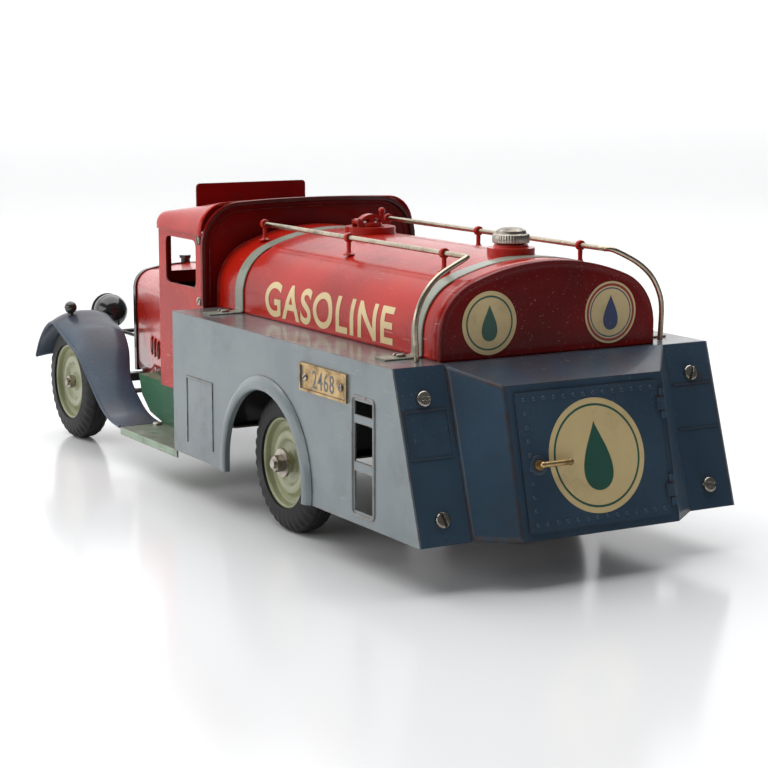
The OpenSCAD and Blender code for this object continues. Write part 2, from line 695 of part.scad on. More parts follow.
// Pressed side sheet with its top flange, wheel opening, hose slots and flare
module skirt(side) {
    arch_y = axle_r - 6.5;
    arch_z = 25.1;
    slot_y = skirt_bottom_y - 51.5;
    flare = 2.6;
    door_y = skirt_y0 + 15;
    mirror([side < 0 ? 1 : 0, 0, 0]) {
        difference() {
            along_x(half - sheet, sheet)
                polygon([[skirt_y0, skirt_z], [skirt_bottom_y, skirt_z], [skirt_y1, skirt_top],
                         [skirt_y0, skirt_top]]);
            rod_x(half - 3, half + 3, arch_y, arch_z, arch_r);
            translate([half - 3, arch_y - arch_r, skirt_z - 1]) cube([6, 2 * arch_r, arch_z - skirt_z + 1]);
            for (zz = [[25.4, 16.3], [45.7, 15.8], [65, 5.6]])
                translate([half - 3, slot_y, skirt_z + zz[0] - 19.7]) cube([6, slot_w, zz[1]]);
        }
        // Top flange in to the tank
        translate([0, 0, skirt_top - sheet]) linear_extrude(height = sheet)
            polygon([[tank_w / 2 + 0.1, skirt_y0], [half - sheet, skirt_y0],
                     [half - sheet, skirt_y1 - sheet - 0.05], [cabinet_side_x + 0.1, skirt_y1 - sheet - 0.05],
                     [cabinet_side_x + 0.1, skirt_y1 - 3.1], [tank_w / 2 + 0.1, skirt_y1 - 3.1]]);
        // Rolled flare
        intersection() {
            translate([half - 0.1, arch_y, arch_z]) rotate([0, 90, 0]) rotate_extrude($fn = 96)
                polygon([[arch_r, 0], [arch_r, 1.7], [arch_r + 0.5, 2.3], [arch_r + 1.4, flare],
                         [arch_r + 2.8, flare], [arch_r + 4.2, 2.2], [arch_r + 5.4, 1.4],
                         [arch_r + flare_w, 0.5], [arch_r + flare_w, 0]]);
            translate([half - 1, arch_y - arch_r - flare_w - 1, skirt_z])
                cube([8, 2 * (arch_r + flare_w + 1), 90]);
        }
        // Raised outline of a small service hatch
        for (y = [door_y, door_y + 28]) translate([half, y, skirt_z + 6.6]) cube([0.4, 1, 32]);
        translate([half, door_y, skirt_z + 37.6]) cube([0.4, 29, 1]);
    }
}

module skirt_left() { color("lightsteelblue") skirt(1); }
module skirt_right() { color("lightsteelblue") skirt(-1); }

// Raked panel beside the tail cabinet, with a raised hatch outline on it
module corner_panel(side) {
    x0 = cabinet_side_x + 0.1;
    x1 = half - sheet;
    mirror([side < 0 ? 1 : 0, 0, 0]) {
        along_x(x0, x1 - x0)
            polygon([[skirt_bottom_y, skirt_z], [skirt_y1, skirt_top],
                     [skirt_y1 - sheet, skirt_top], [skirt_bottom_y - sheet, skirt_z]]);
        translate([x0, skirt_bottom_y, skirt_z]) rotate([rake_angle, 0, 0]) {
            w = x1 - x0;
            for (z = [34, 53]) translate([1.5, 0, z]) cube([w - 3, 0.4, 0.9]);
            if (side > 0) for (x = [1.5, w - 2.4]) translate([x, 0, 34]) cube([0.9, 0.4, 19.5]);
        }
    }
}

module corner_panel_left() { color("slategray") corner_panel(1); }
module corner_panel_right() { color("slategray") corner_panel(-1); }

// ---- tail cabinet ----

cabinet_z0 = skirt_z + 0.2;
cabinet_z1 = cabinet_z0 + cabinet_h;

// Eight corners of the cabinet drawn in by t
function cabinet_corners(t) = [
    for (s = [-1, 1]) each [
        [s * (cabinet_side_x - t), skirt_bottom_y - 12, cabinet_z0 + t],
        [s * (cabinet_side_x - t), skirt_y1 - 3, skirt_top + 0.05 - 1.2 * t],
        [s * (cabinet_side_x - t), skirt_bottom_y, cabinet_z0 + t],
        [s * (cabinet_side_x - t), skirt_y1, skirt_top + 0.05 - 1.2 * t],
        [s * (cabinet_w / 2 - 0.6 * t), tail_y - t, cabinet_z0 + t],
        [s * (cabinet_w / 2 - 0.6 * t), cabinet_top_y - t, cabinet_z1 - 0.9 * t]]];

module cabinet_block(t) {
    polyhedron(points = cabinet_corners(t), faces = fans([
        [2, 3, 1, 0], [4, 5, 3, 2], [7, 9, 8, 6], [9, 11, 10, 8],
        [1, 7, 6, 0], [3, 9, 7, 1], [5, 11, 9, 3], [10, 11, 5, 4], [6, 8, 10, 4, 2, 0]]));
}

hinge_x = -door_x - 1.3;
hinge_out = 1.3;
hinge_up = [7, door_l - 13];

// Places a child in the door's plane: x across, y outwards, z up the slope
module on_door_plane() {
    translate([0, tail_y, cabinet_z0]) rotate([cabinet_angle, 0, 0]) children();
}

module tail_cabinet() {
    color("steelblue") {
        difference() {
            cabinet_block(0);
            cabinet_block(sheet);
            on_door_plane() translate([-door_x + 2, -4, door_margin + 2])
                cube([door_w - 4, 8, door_l - 4]);
        }
        // Fixed hinge knuckles with their pins
        on_door_plane() for (z = hinge_up) translate([hinge_x, hinge_out, door_margin + z]) {
            translate([0, 0, -3.2]) cylinder(h = 3, r = 1.2);
            translate([0, 0, -3]) cylinder(h = 9.4, d = hinge_pin_d);
            translate([0, 0, 6.3]) cylinder(h = 3, r = 1.2);
            for (k = [-3.2, 6.3]) translate([-1.2, -hinge_out, k]) cube([2.4, hinge_out, 3]);
        }
    }
}

rivet_r = 0.7;
module tail_door() {
    color("steelblue") on_door_plane() {
        difference() {
            union() {
                translate([-door_x, clear, door_margin]) cube([door_w, sheet, door_l]);
                for (z = hinge_up) translate([hinge_x, hinge_out, door_margin + z + clear]) {
                    cylinder(h = 5.5, r = 1.2);
                    translate([0, -0.2, 0]) cube([3, 1, 5.5]);
                }
                // Embossed rivets along three edges
                for (i = [0 : 13]) for (z = [door_margin + 3, door_margin + door_l - 3])
                    translate([-door_x + 3.6 + i * (door_w - 7.2) / 13, clear + sheet, z])
                        rotate([-90, 0, 0]) cylinder(h = 0.4, r = rivet_r, $fn = 16);
                for (i = [1 : 8]) for (x = [door_x - 3.6])
                    translate([x, clear + sheet, door_margin + 3 + i * (door_l - 6) / 9])
                        rotate([-90, 0, 0]) cylinder(h = 0.4, r = rivet_r, $fn = 16);
            }
            for (z = hinge_up) translate([hinge_x, hinge_out, door_margin + z - 1])
                cylinder(h = 9, d = hinge_pin_d + 2 * running_gap);
            translate([latch_x, -1, latch_up]) rotate([-90, 0, 0])
                cylinder(h = 5, r = 1.2 + running_gap);
        }
    }
}

latch_x = 27.7 / 34.7 * door_x;
latch_up = door_margin + door_l * 0.475;

// Bent rod handle, its spindle through the door, and a tongue behind it
module door_latch() {
    color("goldenrod") on_door_plane() translate([latch_x, 0, latch_up]) {
        translate([0, -3, 0]) rotate([-90, 0, 0]) cylinder(h = 8, r = 1.2);
        translate([0, clear + sheet + 0.1, 0]) rotate([-90, 0, 0]) cylinder(h = 1, r = 2.2);
        translate([0, 4.4, 0]) rotate([0, -90, 0]) cylinder(h = 13, r = 1.2);
        translate([0, 4.4, 0]) sphere(r = 1.4);
        translate([-13, 4.4, 0]) sphere(r = 1.5);
        translate([-1.6, -3.4, -1.6]) cube([3.2, 0.8, 9]);
    }
}

// ---- tank ----

module tank_shell() {
    color("red") difference() {
        along_y(tank_y0 + 1, tank_y1 - tank_y0 - 2)
            crowned_outline(tank_w, skirt_top + 0.1, tank_top, tank_r, tank_crown);
        along_y(tank_y0, tank_y1 - tank_y0)
            crowned_outline(tank_w - 2 * sheet, skirt_top + 0.1 + sheet, tank_top - sheet,
                            tank_r - sheet, tank_crown);
    }
}

// End plate with a narrow rolled rim over the shell's end
module tank_end() {
    along_y(0, 1) crowned_outline(tank_w, skirt_top + 0.1, tank_top, tank_r, tank_crown);
    difference() {
        along_y(-0.8, 1.8)
            crowned_outline(tank_w + 1, skirt_top + 0.1, tank_top + 0.5, tank_r + 0.5, tank_crown);
        along_y(-2, 2)
            crowned_outline(tank_w, skirt_top - 1, tank_top, tank_r, tank_crown);
    }
}

module tank_end_rear() { color("darkred") translate([0, tank_y1 - 1, 0]) tank_end(); }
module tank_end_front() { color("darkred") translate([0, tank_y0 + 1, 0]) mirror([0, 1, 0]) tank_end(); }

// Band over the tank with a foot each side on the skirt's top
strap_t = 0.8;
foot_l = 17;
module strap(y) {
    difference() {
        along_y(y - strap_w / 2, strap_w) crowned_outline(tank_w + 2 * strap_t, skirt_top + 0.05,
            tank_top + strap_t, tank_r + strap_t, tank_crown);
        along_y(y - strap_w, 2 * strap_w) crowned_outline(tank_w, skirt_top - 2,
            tank_top, tank_r, tank_crown);
    }
    for (s = [0, 1]) mirror([s, 0, 0])
        translate([tank_w / 2 + strap_t, y - strap_w / 2, skirt_top]) cube([foot_l, strap_w, strap_t]);
}

module strap_front() { color("darkseagreen") strap(strap_front_y); }
module strap_rear() { color("darkseagreen") strap(strap_rear_y); }

// Handrail: straight over the tank, then out and down round its rear corner
rail_bend_y = tank_y1 - 8;
rail_path = concat(
    [[rail_x, post_y[0] - 1.5, rail_z], [rail_x, rail_bend_y - 6, rail_z]],
    spline([[rail_x, rail_bend_y - 2, rail_z], [rail_x + 3.5, rail_bend_y + 0.4, rail_z - 0.8],
            [tank_w / 2 - 3.6, rail_bend_y + 1, rail_z - 6.4], [tank_w / 2 + 3.4, rail_bend_y + 1.8, rail_z - 12.6],
            [tank_w / 2 + 7.4, rail_bend_y + 2.2, rail_z - 20], [tank_w / 2 + 8.6, rail_bend_y + 2.4, rail_z - 27],
            [tank_w / 2 + 8, rail_bend_y + 2.5, skirt_top + 0.2]], 4));
module handrail_left() { color("silver") bent_rod(rail_path, rail_d / 2, [0.3, 1, 0.55], 10); }
module handrail_right() {
    color("silver") mirror([1, 0, 0]) bent_rod(rail_path, rail_d / 2, [0.3, 1, 0.55], 10);
}

// Height of the tank's top at a distance from its middle
function tank_z(x) =
    let (c = tank_w / 2 - tank_r, q = (c * c + tank_crown * tank_crown) / (2 * tank_crown),
         qz = crown_z - q, corner_z = qz + sqrt(pow(q - tank_r, 2) - c * c))
    x < c * q / (q - tank_r) ? qz + sqrt(q * q - x * x)
                             : corner_z + sqrt(tank_r * tank_r - pow(x - c, 2));

module rail_posts() {
    foot_r = 2.6;
    z0 = tank_z(rail_x - foot_r) + 0.05;
    color("firebrick") both() for (y = post_y) difference() {
        translate([rail_x, y, 0]) {
            translate([0, 0, z0]) cylinder(h = 0.7, r = foot_r);
            translate([0, 0, z0]) cylinder(h = rail_z - rail_d / 2 - 0.4 - z0, r = 1);
            translate([0, 1.2, rail_z]) rotate([90, 0, 0]) cylinder(h = 2.4, r = rail_d / 2 + 1);
        }
        translate([rail_x, y + 3, rail_z]) rotate([90, 0, 0]) cylinder(h = 6, d = rail_d + 0.1);
    }
}

// ---- fillers ----

crown_z = tank_top + tank_crown;
neck_h = 3.4;

// Raised base with a blind throat, standing on the crown
module filler_base(d, throat_d) {
    difference() {
        cylinder(h = neck_h, d = d);
        translate([0, 0, 1]) cylinder(h = neck_h, d = throat_d);
    }
}

bail_x = 6.8;
bail_z = crown_z + neck_h + 2.4;
module filler_neck_front() {
    color("firebrick") translate([0, filler_front_y, crown_z + 0.05]) filler_base(filler_front_d, 9);
    color("firebrick") translate([bail_x, filler_front_y, 0]) {
        for (s = [-1, 1]) translate([-1.4, s * 2.6 - 0.5, crown_z + neck_h]) cube([2.8, 1, 3.4]);
        translate([0, 3.1, bail_z]) rotate([90, 0, 0]) cylinder(h = 6.2, r = 0.7);
    }
}

// Round lid carried under an arched clamp that is hinged at one side
module filler_lid() {
    z = crown_z + neck_h + 0.05 + clear;
    arch_r = 7.6;
    color("firebrick") translate([0, filler_front_y, 0]) {
        translate([0, 0, z]) cylinder(h = 1.6, r = 5.6);
        translate([0, 0, z + 1.6]) cylinder(h = 2.3, r = 2);
        difference() {
            union() {
                intersection() {
                    translate([0, 1.9, bail_z - 5.2]) rotate([90, 0, 0]) difference() {
                        cylinder(h = 3.8, r = arch_r + 1);
                        translate([0, 0, -1]) cylinder(h = 6, r = arch_r - 0.6);
                    }
                    translate([-bail_x, -3, bail_z - 0.6]) cube([2 * bail_x, 6, 9]);
                }
                translate([bail_x, 1.9, bail_z]) rotate([90, 0, 0]) cylinder(h = 3.8, r = 1.4);
                translate([-bail_x + 0.6, 0, bail_z - 1.6]) cylinder(h = 6, r = 1.2);
                translate([-bail_x + 0.6, 0, bail_z + 4.6]) sphere(r = 1.6);
            }
            translate([bail_x, 4, bail_z]) rotate([90, 0, 0]) cylinder(h = 8, r = 0.7 + running_gap);
        }
    }
}

module filler_neck_rear() {
    color("firebrick") difference() {
        translate([0, filler_rear_y, crown_z + 0.05]) filler_base(filler_rear_d, 12);
        // Notch over the strap
        translate([-filler_rear_d, strap_rear_y - strap_w / 2 - 0.1, crown_z - 1])
            cube([2 * filler_rear_d, strap_w + 0.2, 1 + strap_t + 0.1]);
    }
    color("firebrick") translate([0, filler_rear_y, crown_z + neck_h + 0.05]) difference() {
        cylinder(h = 1.4, r = 7.2);
        translate([0, 0, -1]) cylinder(h = 4, r = 6);
    }
}

// Knurled screw cap with its threaded plug in the throat
module filler_cap() {
    z = crown_z + neck_h + 1.5 + clear;
    color("silver") translate([0, filler_rear_y, z]) {
        difference() {
            cylinder(h = 3.8, r = 7.8);
            for (i = [0 : 35]) rotate([0, 0, 10 * i]) translate([7.9, 0, 0.5])
                cylinder(h = 2.8, r = 0.35, $fn = 13);
        }
        translate([0, 0, 3.8]) cylinder(h = 1.6, r = 6.4);
        translate([0, 0, 5.4]) cylinder(h = 1.2, r1 = 6, r2 = 2.5, $fn = 48);
        translate([0, 0, -3.6]) cylinder(h = 3.6, r = 6 - 0.3);
    }
}

// ---- plate and fasteners ----

plate_y0 = axle_r + 28.2;
plate_l = 40.7;
plate_h = 12;
plate_z0 = skirt_top - 19;
module side_plate() {
    color("khaki") {
        translate([half, plate_y0, plate_z0]) cube([0.6, plate_l, plate_h]);
        difference() {
            translate([half + 0.6, plate_y0, plate_z0]) cube([0.5, plate_l, plate_h]);
            translate([half, plate_y0 + 1, plate_z0 + 1]) cube([3, plate_l - 2, plate_h - 2]);
        }
    }
}

module body_screws() {
    side_gap = (half - cabinet_side_x) / 2 + cabinet_side_x;
    foot_x = tank_w / 2 + strap_t + foot_l - 9;
    color("silver") {
        for (s = [-1, 1]) for (k = [0, 1])
            on_rake(skirt_bottom_y, skirt_z, rake_angle, s * side_gap, k == 0 ? 10 : 58)
                slotted_head(3.3, 1.8, 35 + 50 * k);
        for (s = [-1, 1]) for (y = [strap_front_y, strap_rear_y])
            translate([s * foot_x, y, skirt_top + strap_t]) slotted_head(2.9, 1.6, 20 * s);
        for (y = [plate_y0 + 5, plate_y0 + plate_l - 5])
            translate([half + 0.6, y, plate_z0 + plate_h / 2]) rotate([0, 90, 0])
                slotted_head(1.7, 0.9, 40);
    }
}

module cab_bolts() {
    y = cab_back_y - 5;
    color("silver") {
        both() for (z = [window_z0 - 6, window_z1 + 0.4]) translate([cab_x, y, z]) rotate([0, 90, 0])
            slotted_head(2.2, 1.4, 60);
        both() translate([half - 20, axle_f + 86, board_z]) slotted_head(2.6, 1.5, 30);
    }
}

girder_left();
girder_right();
cross_members();
frame_pan();
front_axle_beam();
knuckle_left();
knuckle_right();
tie_rod();
wheel_front_left();
wheel_front_right();
tyre_front_left();
tyre_front_right();
rear_axle();
wheel_rear_left();
wheel_rear_right();
tyre_rear_left();
tyre_rear_right();
rear_hub_nuts();
running_board_left();
running_board_right();
front_wing_left();
front_wing_right();
wing_lamps();
headlamp_shells();
headlamp_lenses();
headlamp_brackets();
radiator_shell();
radiator_grille();
hood();
cab_shell();
cab_back();
cab_roof();
roof_sign();
driver_bench();
steering_wheel();
skirt_left();
skirt_right();
corner_panel_left();
corner_panel_right();
tail_cabinet();
tail_door();
door_latch();
tank_shell();
tank_end_front();
tank_end_rear();
strap_front();
strap_rear();
handrail_left();
handrail_right();
rail_posts();
filler_neck_front();
filler_lid();
filler_neck_rear();
filler_cap();
side_plate();
body_screws();
cab_bolts();
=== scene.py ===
"""Looks of the tin toy tanker truck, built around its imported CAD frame. Metres, +Z up, front at -Y."""
import json
import math

import bmesh
import bpy
import numpy as np
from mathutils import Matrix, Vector


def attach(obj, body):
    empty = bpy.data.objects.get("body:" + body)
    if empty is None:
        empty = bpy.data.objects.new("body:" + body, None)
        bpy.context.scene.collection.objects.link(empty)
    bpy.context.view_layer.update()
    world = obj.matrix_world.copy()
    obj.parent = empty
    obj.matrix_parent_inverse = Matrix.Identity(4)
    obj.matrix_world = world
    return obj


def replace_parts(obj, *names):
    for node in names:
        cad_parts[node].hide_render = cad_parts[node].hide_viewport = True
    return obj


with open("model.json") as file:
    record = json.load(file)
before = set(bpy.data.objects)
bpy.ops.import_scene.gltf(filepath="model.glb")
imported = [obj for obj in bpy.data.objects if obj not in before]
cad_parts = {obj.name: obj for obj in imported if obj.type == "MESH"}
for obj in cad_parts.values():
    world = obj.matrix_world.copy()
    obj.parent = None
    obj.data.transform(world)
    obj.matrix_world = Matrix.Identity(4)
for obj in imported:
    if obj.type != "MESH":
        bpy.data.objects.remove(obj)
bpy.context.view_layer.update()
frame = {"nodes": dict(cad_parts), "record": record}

MM = 0.001
SHEET = 0.8 * MM
NODES = frame["nodes"]


# ---------------------------------------------------------------- camera, floor and light

def place_camera():
    """A long lens low behind the truck's left rear corner."""
    data = bpy.data.cameras.new("camera")
    data.lens, data.sensor_width = 95.1, 36.0
    camera = bpy.data.objects.new("camera", data)
    bpy.context.scene.collection.objects.link(camera)
    camera.location = (0.4716, 0.8559, 0.2102)
    camera.rotation_mode = "QUATERNION"
    camera.rotation_quaternion = Vector((-0.4942, -0.8540, -0.1627)).to_track_quat("-Z", "Y")
    bpy.context.scene.camera = camera


def place_floor():
    """A wide pale floor with a faint polish."""
    reach = 12.0
    mesh = bpy.data.meshes.new("floor")
    corners = [(-reach, -reach, 0), (reach, -reach, 0), (reach, reach, 0), (-reach, reach, 0)]
    mesh.from_pydata(corners, [], [(0, 1, 2, 3)])
    floor = bpy.data.objects.new("floor", mesh)
    bpy.context.scene.collection.objects.link(floor)
    material = bpy.data.materials.new("pale_floor")
    material.use_nodes = True
    shader = material.node_tree.nodes["Principled BSDF"]
    shader.inputs["Base Color"].default_value = (0.86, 0.86, 0.865, 1)
    shader.inputs["Roughness"].default_value = 0.16
    shader.inputs["Specular IOR Level"].default_value = 0.35
    mesh.materials.append(material)


def area_light(name, place, aim, size, power, tint=(1, 1, 1)):
    data = bpy.data.lights.new(name, "AREA")
    data.shape, data.size, data.size_y = "RECTANGLE", size[0], size[1]
    data.energy, data.color = power, tint
    lamp = bpy.data.objects.new(name, data)
    bpy.context.scene.collection.objects.link(lamp)
    lamp.location = place
    lamp.rotation_mode = "QUATERNION"
    lamp.rotation_quaternion = (Vector(aim) - Vector(place)).to_track_quat("-Z", "Y")


def place_backdrop():
    """A white lit wall far in front of the truck, which the camera sees behind it."""
    mesh = bpy.data.meshes.new("backdrop")
    mesh.from_pydata([(-9, -5, -0.5), (9, -5, -0.5), (9, -5, 7), (-9, -5, 7)], [], [(0, 3, 2, 1)])
    wall = bpy.data.objects.new("backdrop", mesh)
    bpy.context.scene.collection.objects.link(wall)
    material = bpy.data.materials.new("lit_wall")
    material.use_nodes = True
    shader = material.node_tree.nodes["Principled BSDF"]
    shader.inputs["Base Color"].default_value = (0.9, 0.9, 0.9, 1)
    shader.inputs["Emission Color"].default_value = (1, 1, 1, 1)
    shader.inputs["Emission Strength"].default_value = 1.05
    mesh.materials.append(material)


def place_lights():
    """A large soft box over the truck and one at its left side, in a dim room."""
    world = bpy.data.worlds.new("dim_room")
    world.use_nodes = True
    world.node_tree.nodes["Background"].inputs["Color"].default_value = (0.9, 0.95, 1, 1)
    world.node_tree.nodes["Background"].inputs["Strength"].default_value = 0.12
    bpy.context.scene.world = world
    area_light("top_box", (0.0, -0.25, 1.25), (0, 0, 0), (2.2, 1.7), 27)
    area_light("left_box", (1.35, -0.05, 0.42), (0, 0, 0.06), (1.5, 0.62), 6.2)
    bpy.context.scene.view_settings.view_transform = "Standard"


# ---------------------------------------------------------------- meshes worked out as arrays

def outward(points, faces):
    """The faces turned to look away from the middle of the points: sum of (centre - middle) . normal > 0."""
    corners = points[np.array([[f[0], f[len(f) // 3], f[2 * len(f) // 3]] for f in faces])]
    normals = np.cross(corners[:, 1] - corners[:, 0], corners[:, 2] - corners[:, 0])
    arms = corners.mean(1) - points.mean(0)
    away = (arms * normals).sum()
    whole = (np.linalg.norm(arms, axis=1) * np.linalg.norm(normals, axis=1)).sum()
    return [f[::-1] for f in faces] if away < -1e-3 * whole else faces


def piece(name, points, faces, body, finish, smooth=50):
    """A mesh object from an (n, 3) array of millimetres and index faces, riding on a body."""
    points = np.asarray(points, float)
    faces = outward(points, [[int(k) for k in f] for f in faces])
    mesh = bpy.data.meshes.new(name)
    mesh.from_pydata((points * MM).tolist(), [], faces)
    mesh.validate()
    mesh.polygons.foreach_set("use_smooth", [True] * len(mesh.polygons))
    mesh.set_sharp_from_angle(angle=math.radians(smooth))
    made = bpy.data.objects.new(name, mesh)
    bpy.context.scene.collection.objects.link(made)
    mesh.materials.append(MATERIALS[finish])
    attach(made, body)
    return made


def hand(side):
    return "right" if side < 0 else "left"


def grid_faces(rows, columns, wrap_rows=False, wrap_columns=False):
    """Quads between neighbouring points of a rows by columns grid, numbered row by row."""
    i = np.arange(rows if wrap_rows else rows - 1)
    j = np.arange(columns if wrap_columns else columns - 1)
    i, j = np.meshgrid(i, j, indexing="ij")
    below, right = (i + 1) % rows, (j + 1) % columns
    quads = np.stack([i * columns + j, i * columns + right, below * columns + right,
                      below * columns + j], -1)
    return quads.reshape(-1, 4)


def thicken(made, thickness, offset=-1.0):
    """Gives a sheet its wall; offset -1 grows it inwards."""
    wall = made.modifiers.new("wall", "SOLIDIFY")
    wall.thickness, wall.offset, wall.use_even_offset = thickness, offset, True
    return made


def spline(points, steps):
    """Catmull-Rom curve through points: each span is a cubic of its four neighbours."""
    p = np.asarray(points, float)
    padded = np.vstack([p[:1], p, p[-1:]])
    t = np.linspace(0, 1, steps, endpoint=False)[None, :, None]
    a, b, c, d = (padded[k:k + len(p) - 1, None, :] for k in range(4))
    curve = b + 0.5 * t * (c - a + t * (2 * a - 5 * b + 4 * c - d + t * (3 * (b - c) + d - a)))
    return np.vstack([curve.reshape(-1, p.shape[1]), p[-1:]])


def tube(path, radius, sides, up):
    """Rings of points round a path: centre + radius (cos a u + sin a v), u and v square to the path."""
    path = np.asarray(path, float)
    way = np.gradient(path, axis=0)
    way /= np.linalg.norm(way, axis=1)[:, None]
    u = np.cross(way, np.asarray(up, float))
    u /= np.linalg.norm(u, axis=1)[:, None]
    v = np.cross(way, u)
    a = np.linspace(0, 2 * math.pi, sides, endpoint=False)[None, :, None]
    radius = np.broadcast_to(np.asarray(radius, float), (len(path),))[:, None, None]
    rings = path[:, None, :] + radius * (np.cos(a) * u[:, None, :] + np.sin(a) * v[:, None, :])
    return rings


def rod(name, path, radius, body, finish, sides=20, up=(0, 0, 1)):
    """A closed round rod: its rings, with a flat fan at each end."""
    rings = tube(path, radius, sides, up)
    n = len(rings)
    faces = grid_faces(n, sides, wrap_columns=True)[:, ::-1].tolist()
    ends = [list(range(sides)), [(n - 1) * sides + k for k in range(sides)][::-1]]
    return piece(name, rings.reshape(-1, 3), faces + ends, body, finish, 60)


# ---------------------------------------------------------------- materials

def socket(tree, name, kind, way, value=None):
    made = tree.interface.new_socket(name=name, in_out=way, socket_type=kind)
    if value is not None:
        made.default_value = value
    return made


class Wiring:
    """Short names for adding nodes and links to one node tree."""

    def __init__(self, tree):
        self.tree = tree

    def node(self, kind, **settings):
        made = self.tree.nodes.new(kind)
        for key, value in settings.items():
            setattr(made, key, value)
        return made

    def link(self, source, target):
        self.tree.links.new(source, target)

    def put(self, target, value):
        if isinstance(value, bpy.types.NodeSocket):
            self.link(value, target)
        else:
            target.default_value = value

    def math(self, operation, a, b=None, clamp=False):
        made = self.node("ShaderNodeMath", operation=operation, use_clamp=clamp)
        self.put(made.inputs[0], a)
        if b is not None:
            self.put(made.inputs[1], b)
        return made.outputs[0]

    def noise(self, where, scale, detail=3.0, rough=0.55):
        made = self.node("ShaderNodeTexNoise")
        self.link(where, made.inputs["Vector"])
        self.put(made.inputs["Scale"], scale)
        made.inputs["Detail"].default_value = detail
        made.inputs["Roughness"].default_value = rough
        return made.outputs["Fac"]

    def stretch(self, where, scale, turn=(0, 0, 0), move=(0, 0, 0)):
        made = self.node("ShaderNodeMapping")
        self.link(where, made.inputs["Vector"])
        made.inputs["Scale"].default_value = scale
        made.inputs["Rotation"].default_value = turn
        made.inputs["Location"].default_value = move
        return made.outputs["Vector"]

    def ramp(self, value, low, high):
        """0 below low, 1 above high, smooth between."""
        made = self.node("ShaderNodeMapRange", interpolation_type="SMOOTHSTEP")
        self.put(made.inputs["Value"], value)
        self.put(made.inputs["From Min"], low)
        self.put(made.inputs["From Max"], high)
        return made.outputs["Result"]

    def mix(self, factor, a, b, blend="MIX"):
        made = self.node("ShaderNodeMix", data_type="RGBA", blend_type=blend)
        self.put(made.inputs["Factor"], factor)
        self.put(made.inputs["A"], a)
        self.put(made.inputs["B"], b)
        return made.outputs["Result"]


def edge_mask_group():
    """Mask of folded and cut edges: how far the rounded normal leans from the true one."""
    tree = bpy.data.node_groups.new("edge_mask", "ShaderNodeTree")
    socket(tree, "Width", "NodeSocketFloat", "INPUT", 0.0007)
    socket(tree, "Edge", "NodeSocketFloat", "OUTPUT")
    w = Wiring(tree)
    start, end = w.node("NodeGroupInput"), w.node("NodeGroupOutput")
    bevel = w.node("ShaderNodeBevel", samples=4)
    w.link(start.outputs["Width"], bevel.inputs["Radius"])
    flat = w.node("ShaderNodeNewGeometry")
    lean = w.node("ShaderNodeVectorMath", operation="DOT_PRODUCT")
    w.link(bevel.outputs["Normal"], lean.inputs[0])
    w.link(flat.outputs["Normal"], lean.inputs[1])
    w.link(w.ramp(w.math("SUBTRACT", 1.0, lean.outputs["Value"]), 0.01, 0.16), end.inputs["Edge"])
    return tree


